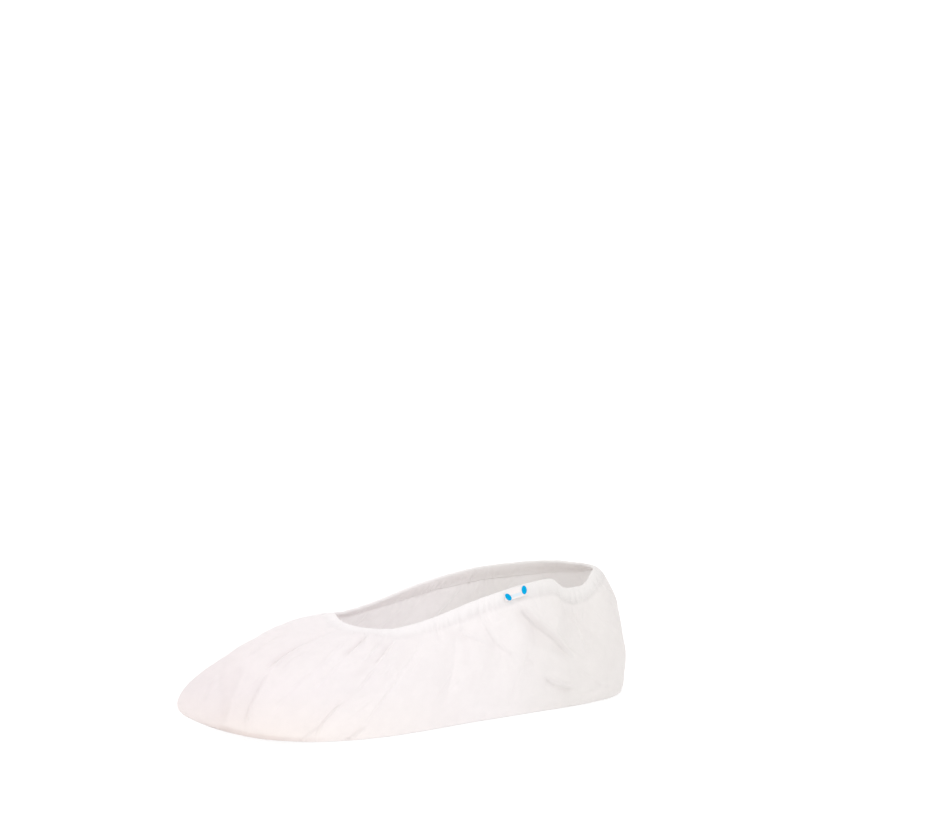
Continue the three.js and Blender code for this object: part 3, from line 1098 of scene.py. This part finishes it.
@dataclass(frozen=True)
class ThreadFinish:
    """Twisted thread: fine slanted ribs across each stitch, with a soft lustre."""

    name: str
    colour: Colour
    dark: Colour
    roughness: float = 0.45
    rib: float = 2600.0
    sheen: float = 0.2
    shine: float = 0.5

    def build(self) -> bpy.types.Material:
        """Builds the material, whose ribs are a wave along the object's own slanted direction."""
        material, n, shader = new_material(self.name)
        place = n.add("ShaderNodeTexCoord").outputs["Object"]
        wave = n.add("ShaderNodeTexWave", bands_direction="DIAGONAL", in_Scale=self.rib, in_Distortion=1.5)
        n.feed(wave.inputs["Vector"], place)
        rib, wear = wave.outputs["Fac"], n.noise(place, 900.0, 3.0)
        n.feed(shader.inputs["Base Color"], n.blend(n.product(rib, wear), self.dark, self.colour))
        n.feed(shader.inputs["Roughness"], n.scaled(wear, 0.15, self.roughness))
        n.feed(shader.inputs["Normal"], n.bump(rib, 0.3, 0.05 * MM))
        shader.inputs["Sheen Weight"].default_value = self.sheen
        shader.inputs["Specular IOR Level"].default_value = self.shine
        return material


@dataclass(frozen=True)
class Stripe:
    """A pale stripe on tape, in the mm of its UV map: how high it is, its half height and half length."""

    colour: Colour
    middle: float
    half_height: float
    half_length: float


@dataclass(frozen=True)
class TapeFinish:
    """Fine woven tape, with a stripe where it has one."""

    name: str
    ground: Colour
    warp: float  # mm from one thread to the next along the tape
    weft: float  # mm from one thread to the next across it
    stripe: Stripe | None = None
    bump: float = 0.3
    roughness: float = 0.55
    between: Colour = (0.6, 0.62, 0.64, 1.0)  # the shade between the threads

    def build(self) -> bpy.types.Material:
        """Builds the material on the piece's own UV map, which is in mm."""
        material, n, shader = new_material(self.name)
        place = n.add("ShaderNodeTexCoord").outputs["UV"]
        split = n.add("ShaderNodeSeparateXYZ", in_Vector=place)
        warp = n.maths("SINE", n.product(split.outputs["X"], 2 * math.pi / self.warp))
        weft = n.maths("SINE", n.product(split.outputs["Y"], 2 * math.pi / self.weft))
        weave, fuzz = n.product(warp, weft), n.noise(place, 1.4, 3.0)
        base = n.blend(n.scaled(weave, 0.03, 0.03), self.ground, self.between)
        if self.stripe:
            base = n.blend(self._stripe_mask(n, split, fuzz), base, self.stripe.colour)
        n.feed(shader.inputs["Base Color"], base)
        n.feed(shader.inputs["Roughness"], n.scaled(fuzz, 0.1, self.roughness))
        n.feed(shader.inputs["Normal"], n.bump(weave, self.bump, 0.1 * MM))
        shader.inputs["Sheen Weight"].default_value = 0.1
        return material

    def _stripe_mask(self, n: Nodes, split: bpy.types.Node, fuzz: Output) -> Output:
        """One inside the stripe and none outside, with a ragged, rubbed edge: a clipped fall on each axis.

        Args:
            n: The material's node helper.
            split: The place on the tape, as X and Y.
            fuzz: A noise that thins the stripe in spots.

        Returns:
            The mask.
        """
        off = n.maths("ABSOLUTE", n.maths("SUBTRACT", split.outputs["Y"], self.stripe.middle))
        low = n.maths("DIVIDE", n.maths("SUBTRACT", self.stripe.half_height, off), 0.5, True)
        far = n.maths("ABSOLUTE", split.outputs["X"])
        end = n.maths("SUBTRACT", self.stripe.half_length, far, True)
        return n.maths("MULTIPLY", n.product(low, end), n.maths("ADD", fuzz, 0.4), True)


# ---------------------------------------------------------------- upper


@dataclass
class Upper:
    """The cloth from the top of the hem to the sole, where it turns under and meets the panel."""

    form: ClothForm
    near_rows: int = 34  # close rings, by the hem
    near_reach: float = 30.0
    far_rows: int = 57
    turn_rows: int = 5
    turn_under: float = 2.4  # how far the lowest stretch goes in under the sole
    turn_end: float = 0.12  # the angle at which it stops, just short of level
    fold_rows: int = 7
    fold_end: float = 2.5  # the angle over the hem at which the outer cloth stops
    seam_waves: int = 58
    seam_depth: float = 0.13
    seam_wander: float = 4.0
    seam_height: float = 3.0  # above the sole, where the puckers are deepest
    seam_spread: float = 5.0
    seam_rise: float = 2.5  # height over which they come in
    painted_shade_height: Pair = (0.003, 0.034)  # share of the way up over which the painted shade along the lowest edge fades
    painted_shade_start: Pair = (0.0, 0.1)  # where round the cover the painted shade along the lowest edge starts
    painted_shade_end: Pair = (0.15, 0.29)  # where it ends
    double_share: float = 0.3  # how much light the doubled cloth lets through, of the single cloth's
    double_fade: Pair = (-6.0, 7.0)  # where below the stitches it becomes single

    def _drops(self) -> Array:
        """Distances below the top of the hem: wide rings up from the sole, and close ones by the hem."""
        start = HEM.crown + self.near_reach
        near = self.form.rings(np.linspace(HEM.crown, start, self.near_rows, endpoint=False))
        share = np.linspace(0.0, 1.0, self.far_rows)[:, None]
        far = start + share * (self.form.length[None, :] - start)
        return np.vstack([near, far])[::-1]

    def _turned_edge(self) -> Array:
        """The cloth's lowest stretch: a quarter round from the sole edge inwards, close to the floor.

        The angle goes from the level outward direction down to straight under, on an ellipse that is
        as wide as the turn and as high as the sole panel.
        """
        foot = outline(SOLE_EDGE, self.form.columns)
        angle = np.linspace(math.pi / 2, self.turn_end, self.turn_rows)[:, None, None]
        up = np.array([0.0, 0.0, 1.0])
        inward = -outward(foot) * self.turn_under * (1 - np.sin(angle))
        above = CLOTH + (WALL + GAP - CLOTH) * (1 - np.cos(angle))
        return self.form.place(foot + inward + up * (sole_lift(foot[:, 0])[:, None] + above))

    def _seam_pull(self, drop: Array) -> Array:
        """Small puckers along the sole seam: a wandering sine by a bell curve of the height above it."""
        above, turn = self.form.length - drop, self.form.turn
        phase = 2 * math.pi * self.seam_waves * turn + self.seam_wander * wander(turn, 71)
        size = self.seam_depth * (0.7 + 0.5 * wander(turn, 72, 18)) * ease(above, 0.0, self.seam_rise)
        return size * np.sin(phase) * np.exp(-((above - self.seam_height) / self.seam_spread) ** 2)

    def build(self, cloth: bpy.types.Material) -> bpy.types.Object:
        """Builds the upper as one sheet, marked where painted shade darkens its lowest edge and where it
        is single.

        Args:
            cloth: The cloth's material.

        Returns:
            The piece.
        """
        drop = self._drops()
        rows = self.form.cloth(drop, self._seam_pull(drop) + HEM.outside(drop))
        over, off = HEM.fold(np.linspace(0.0, self.fold_end, self.fold_rows)[1:])
        top = self.form.cloth(self.form.rings(over), off[:, None])
        points = np.concatenate([self._turned_edge()[::-1][:-1], rows, top])
        faces = grid_faces(len(points), self.form.columns, False, True)
        piece = mesh_piece("upper_cloth", points.reshape(-1, 3), faces)
        under = self.form.length + np.zeros((self.turn_rows - 1, 1))
        below = np.concatenate([under, drop, 0 * top[..., 0]])
        side = np.abs(self.form.around)
        # painted shade along the lowest edge at the toe, where the cloth turns under
        painted_edge_shade = 1 - ease(1 - below / self.form.length, *self.painted_shade_height)
        mark(piece, "painted_edge_shade", painted_edge_shade * ease(side, *self.painted_shade_start) * (1 - ease(side, *self.painted_shade_end)))
        single = ease(below - HEM.stitch, *self.double_fade)
        mark(piece, "single", self.double_share + (1 - self.double_share) * single)
        dress(piece, cloth, "cover_cloth", "upper")
        return piece


# ---------------------------------------------------------------- sole panel


@dataclass
class SolePanel:
    """The sheet under the foot, sewn to the upper a little inside its outline."""

    columns: int
    form: ClothForm
    inset: float = 1.7
    rings: int = 26
    thickness: float = 0.55
    hollow: float = 0.5  # how far the middle rises under the toe
    clear: float = 0.2  # how far the edges rise there
    ripple: float = 0.25
    ripples: Crumple = Crumple(seed=31, low=9, high=26, waves=6)
    toe_reach: float = 50.0  # over which the rise comes in

    def build(self, cloth: bpy.types.Material) -> bpy.types.Object:
        """Builds the panel as strips straight across, from the near edge to the far one.

        Both edges have the same distances from the toe, so a strip is level across. Its height is the
        sole's lift, with a slight hollow, the root of a half sine across, and ripples under the toe.

        Args:
            cloth: The sole's material.

        Returns:
            The piece.
        """
        ring = outline(SOLE_EDGE, self.columns)
        ring = ring - outward(ring) * self.inset
        half = self.columns // 2
        near, far = ring[1:half], ring[:half:-1]
        share = np.linspace(0.0, 1.0, self.rings)[None, :, None]
        points = near[:, None] * (1 - share) + far[:, None] * share
        rise = self.hollow * np.sqrt(np.sin(math.pi * share[..., 0])) + self.clear
        rise = rise + self.ripple * self.ripples.lift(points[..., 0] * MM, points[..., 1])
        toe = ease(points[..., 0], SPRING.end, SPRING.end - self.toe_reach)
        points[..., 2] = sole_lift(points[..., 0]) + self.thickness + toe * rise
        faces = grid_faces(half - 1, self.rings, False, False)[:, ::-1]
        piece = mesh_piece("sole_sheet", self.form.place(points).reshape(-1, 3), faces)
        thicken(piece, self.thickness)
        dress(piece, cloth, "sole_cloth", "sole_panel")
        return piece


# ---------------------------------------------------------------- hem


@dataclass
class HemBand:
    """The cloth that is turned in over the elastic, the elastic itself and the stitch line below it."""

    form: ClothForm
    leg_rows: int = 14
    fold_rows: int = 7
    fold_start: float = 1.2  # the angle over the hem at which the inner cloth starts
    under: float = 0.04  # how far it lies under the outer cloth there
    edge_wander: float = 0.3  # how far its free edge runs up and down
    elastic_drop: Pair = (2.4, 6.4)  # the elastic's two edges, below the top of the hem
    elastic_off: Pair = (-0.9, -0.2)  # its two faces, off the form
    stitch_length: float = 2.5
    stitch_gap: float = 1.1
    stitch_off: float = 0.03
    stitch_steps: int = 7
    stitch_sides: int = 6
    thread: float = 0.08  # half of its thickness
    sunk: float = 0.9  # how deep a stitch's ends lie, in half thicknesses
    arch: float = 1.2  # how far its middle rises above them
    taper: float = 0.35  # thickness at its ends

    def turned_in(self, cloth: bpy.types.Material) -> bpy.types.Object:
        """Builds the inner layer: it starts under the fold and runs down inside, past the stitches.

        Args:
            cloth: The cloth's material.

        Returns:
            The piece.
        """
        over, off = HEM.fold(np.linspace(self.fold_start, math.pi, self.fold_rows), self.under)
        leg = np.linspace(HEM.crown, HEM.drop, self.leg_rows)[1:]
        drop = np.concatenate([over, leg])[:, None]
        off = np.concatenate([off, HEM.inside(leg)])[:, None]
        edge = self.edge_wander * wander(self.form.turn, 61, 60)
        rings = drop + edge * ease(drop, HEM.stitch, HEM.drop)
        points = self.form.cloth(rings, off)
        faces = grid_faces(len(points), self.form.columns, False, True)
        piece = mesh_piece("hem_band", points.reshape(-1, 3), faces)
        thicken(piece, CLOTH)
        dress(piece, cloth, "cover_cloth", "hem_casing")
        return piece

    def elastic(self, knit: bpy.types.Material) -> bpy.types.Object:
        """Builds the flat elastic in the fold, a closed band whose section is an oblong.

        Args:
            knit: The elastic's material.

        Returns:
            The piece.
        """
        (top, foot), (inner, outer) = self.elastic_drop, self.elastic_off
        section = np.array([(foot, outer), (top, outer), (top, inner), (foot, inner)])
        points = self.form.cloth(self.form.rings(section[:, 0]), section[:, 1:])
        along = np.broadcast_to(self.form.turn * 2 * RIM_HALF, points.shape[:2])
        up = np.broadcast_to(-section[:, :1], points.shape[:2])
        uv = np.stack([along, up], axis=-1).reshape(-1, 2)
        faces = grid_faces(len(points), self.form.columns, True, True)
        piece = mesh_piece("elastic", points.reshape(-1, 3), faces, uv)
        dress(piece, knit, "elastic", "elastic_band")
        return piece

    def stitches(self, thread: bpy.types.Material) -> bpy.types.Object:
        """Builds the line of stitches: tubes with rounded middles and ends sunk in the cloth.

        A stitch's height and thickness follow the root of a half sine along it.

        Args:
            thread: The thread's material.

        Returns:
            The piece.
        """
        centre, out, count = self._stitch_line()
        share = np.linspace(0.0, 1.0, self.stitch_steps)
        swell = np.tile(np.sqrt(np.sin(math.pi * share)), count)[:, None]
        centre = centre + out * (swell * self.arch - self.sunk) * self.thread * MM
        ahead = unit(np.gradient(centre.reshape(count, -1, 3), axis=1)).reshape(-1, 3)
        side = np.cross(ahead, out)
        angle = (np.arange(self.stitch_sides) * 2 * math.pi / self.stitch_sides)[None, :, None]
        round_section = out[:, None] * np.cos(angle) + side[:, None] * np.sin(angle)
        radius = (self.taper + (1 - self.taper) * swell)[:, :, None] * self.thread * MM
        tube = centre[:, None] + round_section * radius
        piece = mesh_piece("hem_stitches", tube.reshape(-1, 3), self._stitch_faces(count))
        dress(piece, thread, "cover_cloth")
        return piece

    def _stitch_line(self) -> tuple[Array, Array, int]:
        """The stitches' middle line, at each step of each stitch.

        Returns:
            The points in metres, the directions out of the cloth, and how many stitches there are.
        """
        ring = self.form.rings([HEM.stitch])
        off = HEM.outside(HEM.stitch) + self.stitch_off
        line = self.form.cloth(ring, off)[0]
        out = unit(self.form.cloth(ring, off + 1.0)[0] - line)
        both = np.hstack([line, out])
        both = np.vstack([both, both[:1]])
        step = np.linalg.norm(np.diff(both[:, :3], axis=0), axis=1) / MM
        length = np.concatenate([[0.0], np.cumsum(step)])
        count = int(length[-1] // (self.stitch_length + self.stitch_gap))
        start = np.arange(count)[:, None] * length[-1] / count
        place = (start + np.linspace(0.0, self.stitch_length, self.stitch_steps)).ravel()
        both = np.stack([np.interp(place, length, column) for column in both.T], axis=1)
        return both[:, :3], unit(both[:, 3:]), count

    def _stitch_faces(self, count: int) -> Array:
        """The quads of all the stitches, each a tube closed at both ends by two quads.

        Args:
            count: How many stitches there are.

        Returns:
            One quad in each row.
        """
        tube = grid_faces(self.stitch_steps, self.stitch_sides, False, True)
        end = np.array([[0, 1, 2, 3], [0, 3, 4, 5]])
        far_end = end[:, ::-1] + (self.stitch_steps - 1) * self.stitch_sides
        one = np.vstack([tube, end, far_end])
        start = np.arange(count) * self.stitch_steps * self.stitch_sides
        return (one[None] + start[:, None, None]).reshape(-1, 4)


# ---------------------------------------------------------------- tab


@dataclass(frozen=True)
class TabSize:
    """The tab's place round the cover and its size, in mm."""

    around: float = 0.587
    length: float = 19.4
    top: float = 0.6  # below the top of the hem
    foot: float = 7.8
    face: float = 0.8  # off the form
    seat: float = 1.05  # where the ovals' edges lie, off the form
    thickness: float = 0.2


TAB = TabSize()

TACKS = table(
    "shift drop long short tilt",
    [(-6.7, 5.2, 3.1, 1.7, -50.0), (6.7, 3.7, 2.9, 2.0, 88.0)],
)


@dataclass
class Tab:
    """The plain tab on the hem and the two satin-stitched ovals that hold it."""

    form: ClothForm
    columns: int = 60
    rows: int = 24
    corner: float = 0.492  # how far a corner is drawn in, on each side
    bow: float = 0.14  # how far the middle stands up
    ripple: float = 0.08  # height of a slight wave along the lower edge
    end_dip: float = 0.2  # how far the ends bend down to the cloth
    edge_dip: float = 0.25  # how far the long edges do
    oval_turns: int = 72
    oval_rings: int = 22
    oval_height: float = 0.5
    strand: float = 0.42  # width of a strand of satin stitch
    strand_height: float = 0.14
    base: float = 0.15  # how far an oval's underside lies below its edge

    def _over(self, shift: Array, drop: Array, off: Array | float) -> Array:
        """Points over the hem's smooth surface.

        Three rings of the surface are joined by a parabola down the hem, and the columns by lines.

        Args:
            shift: Distances round from the tab's middle, in mm.
            drop: Distances below the top of the hem, in mm.
            off: Distances off the surface, in mm.

        Returns:
            The points, in metres.
        """
        levels = np.array([TAB.top - 1.0, (TAB.top + TAB.foot) / 2, TAB.foot + 1.0])
        point, out = self.form.smooth(self.form.rings(levels))
        column = (TAB.around + shift / RIM_HALF) / 2 * self.form.columns
        i = np.floor(column).astype(int)
        w = (column - i)[..., None]
        mid = point[:, i] * (1 - w) + point[:, i + 1] * w
        away = unit(out[:, i] * (1 - w) + out[:, i + 1] * w)
        share = (drop - levels[0]) / (levels[2] - levels[0])
        weights = np.stack([
            2 * (share - 0.5) * (share - 1),
            4 * share * (1 - share),
            2 * share * (share - 0.5),
        ])[..., None]
        position, direction = (mid * weights).sum(axis=0), unit((away * weights).sum(axis=0))
        return self.form.place(position + direction * np.asarray(off)[..., None])

    def patch(self, tape: bpy.types.Material) -> bpy.types.Object:
        """Builds the tab: a grid whose corners are drawn in, bowed up between its ovals.

        The bow is a squared cosine along the tab. High powers of the distances from the middle bend
        the edges down and draw the corners in.

        Args:
            tape: The tab's material.

        Returns:
            The piece.
        """
        x, y = np.meshgrid(np.linspace(-1, 1, self.columns), np.linspace(-1, 1, self.rows))
        half = np.array([TAB.length / 2, (TAB.foot - TAB.top) / 2])
        shift = x * (half[0] - self.corner * np.abs(y) ** 9)
        height = y * (half[1] - self.corner * np.abs(x) ** 9)
        drop = (TAB.top + TAB.foot) / 2 - height
        bow = self.bow * np.cos(math.pi * x / 2) ** 2
        bow += self.ripple * np.sin(5.1 * x + 0.6) * (1 - y) / 2
        bow -= self.end_dip * np.abs(x) ** 12 + self.edge_dip * np.abs(y) ** 8
        points = self._over(shift, drop, TAB.face + bow)
        uv = np.stack([shift, height + half[1]], axis=-1).reshape(-1, 2)
        faces = grid_faces(self.rows, self.columns, False, False)
        piece = mesh_piece("tab_tape", points.reshape(-1, 3), faces, uv)
        thicken(piece, TAB.thickness)
        dress(piece, tape, "tab_cloth", "tab")
        return piece

    def tack(self, index: int, name: str, node: str, thread: bpy.types.Material) -> bpy.types.Object:
        """Builds one oval of satin stitch.

        It is a low dome, a power of the root of one less the squared radius, with a rib, |sin|, for
        each strand across it, and its underside is flat against the tab.

        Args:
            index: Its row in TACKS.
            name: The piece's name.
            node: The solid that it replaces.
            thread: The thread's material.

        Returns:
            The piece.
        """
        middle, drop, long, short, tilt = (column[index] for column in TACKS.values())
        angle = np.arange(self.oval_turns) / self.oval_turns * 2 * math.pi
        radius = np.sin(np.linspace(0.0, math.pi / 2, self.oval_rings))[:, None]
        x, y = radius * np.cos(angle) * long, radius * np.sin(angle) * short
        dome = np.sqrt(np.clip(1 - radius**2, 0, 1)) ** 0.7
        ribs = np.abs(np.sin(x / self.strand * math.pi)) * np.clip(1 - radius**6, 0, 1)
        height = TAB.seat + self.oval_height * dome + self.strand_height * ribs
        cos, sin = math.cos(math.radians(tilt)), math.sin(math.radians(tilt))
        shift, up = x * cos - y * sin, x * sin + y * cos
        # two more rings for the underside: the edge again, and a point in the middle
        shift = np.vstack([0 * shift[:1], shift[-1:], shift[::-1]])
        up = np.vstack([0 * up[:1], up[-1:], up[::-1]])
        under = np.full((2, self.oval_turns), TAB.seat - self.base)
        rows = self._over(middle + shift, drop - up, np.vstack([under, height[::-1]]))
        faces = grid_faces(len(rows), self.oval_turns, False, True)
        piece = mesh_piece(name, rows.reshape(-1, 3), faces)
        weld(piece)
        dress(piece, thread, "blue_thread", node)
        return piece


# ---------------------------------------------------------------- studio


SUNS = table(
    "x y z strength angle",
    [
        (-0.55, -0.1, 1.0, 0.5, 5.0),
        (-0.1, -1.0, 0.08, 0.4, 50.0),
    ],
)


WHITE = (1.0, 1.0, 1.0, 1.0)


@dataclass(frozen=True)
class Studio:
    """A white sweep, soft light from all round, a key over the toe and a long lens low down.

    Sizes are in metres and angles in degrees, apart from toe_along, which is in mm like the tables.
    """

    lens: float = 86.0  # mm
    sensor: float = 36.0  # mm
    distance: float = 1.45  # from the toe
    view_azimuth: float = -24.0  # of the line of sight to the toe
    view_elevation: float = 13.0
    aim_azimuth: float = -31.517  # of the camera's own axis, which looks past the cover
    aim_pitch: float = 5.814
    toe_height: float = 0.024
    toe_along: float = 2.7
    sky: float = 0.95
    paper: tuple[Colour, Colour] = ((0.45, 0.45, 0.45, 1), (0.47, 0.47, 0.47, 1))
    glow_from: Pair = (0.4, 2.5)  # how far back the paper's own glow changes
    glow: Pair = (0.62, 0.85)  # its strength in front and behind
    half_width: float = 9.0
    front: float = -8.0
    bend_start: float = 6.0
    bend_radius: float = 3.0

    def floor(self) -> None:
        """A wide sheet, flat under the cover, that curves up as a quarter round far behind it."""
        bend = np.linspace(0.05, math.pi / 2, 20)
        flat = np.linspace(self.front, self.bend_start, 40)
        depth = np.concatenate([flat, self.bend_start + self.bend_radius * np.sin(bend)])
        height = np.concatenate([0 * flat, self.bend_radius * (1 - np.cos(bend))])
        y, x = np.meshgrid(depth, np.linspace(-self.half_width, self.half_width, 30), indexing="ij")
        z = np.broadcast_to(height[:, None], x.shape)
        faces = grid_faces(*x.shape, False, False)
        sweep = mesh_piece("studio_sweep", np.stack([x, y, z], axis=-1).reshape(-1, 3), faces)
        sweep.data.materials.append(self._paper())

    def _paper(self) -> bpy.types.Material:
        """White paper whose own glow, a painted light, keeps it as bright as the sky, more so far behind
        the cover, and keeps the shadow under the toe pale.
        """
        material, n, shader = new_material("studio_paper")
        place = n.add("ShaderNodeTexCoord").outputs["Object"]
        split = n.add("ShaderNodeSeparateXYZ", in_Vector=place)
        n.feed(shader.inputs["Base Color"], n.blend(n.noise(place, 3.0, 2.0), *self.paper))
        glow = n.ranged(split.outputs["Y"], *self.glow_from, *self.glow)
        n.feed(shader.inputs["Emission Strength"], glow)
        shader.inputs["Emission Color"].default_value = WHITE
        shader.inputs["Roughness"].default_value = 0.9
        shader.inputs["Specular IOR Level"].default_value = 0.1
        return material

    def light(self) -> None:
        """A white world, a low key from the toe that draws the creases, and a broad fill in front."""
        world = bpy.data.worlds.new("studio_world")
        bpy.context.scene.world = world
        world.use_nodes = True
        back = world.node_tree.nodes["Background"]
        back.inputs["Color"].default_value = WHITE
        back.inputs["Strength"].default_value = self.sky
        for row in zip(*SUNS.values()):
            x, y, z, strength, angle = (float(value) for value in row)
            sun = bpy.data.lights.new("sun", "SUN")
            sun.energy, sun.angle = strength, math.radians(angle)
            holder = bpy.data.objects.new("sun", sun)
            holder.rotation_euler = Vector((-x, -y, -z)).to_track_quat("-Z", "Y").to_euler()
            bpy.context.scene.collection.objects.link(holder)
        bpy.context.scene.view_settings.view_transform = "Standard"

    def camera(self, origin_along: float) -> None:
        """Sets the camera back from a point at the toe, along the line of sight to it.

        Args:
            origin_along: How far along the cover the part's origin lies, in mm.
        """
        azimuth, elevation = math.radians(self.view_azimuth), math.radians(self.view_elevation)
        level = math.cos(elevation)
        back = Vector((math.sin(azimuth) * level, -math.cos(azimuth) * level, math.sin(elevation)))
        data = bpy.data.cameras.new("camera")
        data.lens, data.sensor_width, data.sensor_fit = self.lens, self.sensor, "HORIZONTAL"
        data.clip_start, data.clip_end = 0.05, 60.0
        camera = bpy.data.objects.new("camera", data)
        toe = Vector(((self.toe_along - origin_along) * MM, 0.0, self.toe_height))
        camera.location = toe + back * self.distance
        camera.rotation_euler = (math.radians(90 - self.aim_pitch), 0.0, math.radians(self.aim_azimuth))
        bpy.context.scene.collection.objects.link(camera)
        bpy.context.scene.camera = camera


# ---------------------------------------------------------------- assembly


@dataclass(frozen=True)
class Finishes:
    """The materials of all the pieces."""

    cloth: bpy.types.Material
    under: bpy.types.Material
    white_thread: bpy.types.Material
    blue_thread: bpy.types.Material
    tape: bpy.types.Material
    knit: bpy.types.Material


def make_finishes() -> Finishes:
    """Builds the materials, whose tints follow the frame from the toe to the heel, with painted shade at
    the toe tip and a painted shadow at the heel.
    """
    reach = (CAD_BOX[0][0], CAD_BOX[1][0])
    fibres = fibre_group()
    cloth = NonwovenFinish(
        "cover_nonwoven",
        # painted shade darkens the toe tip (0.03) and a painted shadow darkens the heel (0.78)
        stops=(
            (0.03, (0.91, 0.85, 0.858, 1)),
            (0.13, (0.955, 0.903, 0.909, 1)),
            (0.25, (0.967, 0.924, 0.932, 1)),
            (0.62, (0.945, 0.907, 0.907, 1)),
            (0.78, (0.865, 0.836, 0.82, 1)),
        ),
        # painted bounce light, brighter and warmer, low on the toe
        painted_bounce_tint=(1.05, 1.04, 0.995, 1),
        # painted shade for the lowest edge at the toe, where the cloth turns under
        painted_edge_shade=(0.86, 0.83, 0.82, 1),
    ).build(fibres, reach)
    under = NonwovenFinish(
        "sole_nonwoven",
        stops=((0.0, (0.9, 0.875, 0.87, 1)), (1.0, (0.88, 0.87, 0.86, 1))),
        thin=0.95,
        bump=0.5,
        roughness=0.7,
        size=0.7,
    ).build(fibres, reach)
    white_thread = ThreadFinish("white_thread", (0.98, 0.95, 0.95, 1), (0.95, 0.9, 0.9, 1)).build()
    blue_thread = ThreadFinish(
        "blue_satin", (0.0, 0.49, 0.82, 1), (0.0, 0.36, 0.7, 1), rib=1500.0, sheen=0.0, shine=0.05
    ).build()
    stripe = Stripe((0.68, 0.78, 0.84, 1), middle=2.3, half_height=1.3, half_length=4.4)
    tape = TapeFinish("tab_tape", (0.86, 0.81, 0.8, 1), warp=0.5, weft=0.4, stripe=stripe).build()
    knit = TapeFinish("elastic_knit", (0.93, 0.93, 0.91, 1), warp=1.1, weft=0.9, bump=0.8).build()

    return Finishes(cloth, under, white_thread, blue_thread, tape, knit)


def main() -> None:
    """Builds the cover's pieces in order, dresses them and sets up the studio."""
    logging.basicConfig(level=logging.INFO, format="%(name)s %(message)s")
    sole_low, sole_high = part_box("sole_panel")
    origin = (SOLE_EDGE["along"][0] - sole_low.x / MM, -(sole_low.y + sole_high.y) / 2 / MM)
    finishes = make_finishes()
    form = ClothForm(960, origin)
    upper = Upper(form).build(finishes.cloth)
    sole = SolePanel(640, form).build(finishes.under)
    hem = HemBand(form)
    band = hem.turned_in(finishes.cloth)
    hem.elastic(finishes.knit)
    stitches = hem.stitches(finishes.white_thread)
    tab = Tab(form)
    tab.patch(finishes.tape)
    tab.tack(0, "tack_front", "bar_tack_front", finishes.blue_thread)
    tab.tack(1, "tack_rear", "bar_tack_rear", finishes.blue_thread)

    studio = Studio()
    studio.floor()
    studio.light()
    studio.camera(origin[0])


if __name__ == "__main__":
    main()
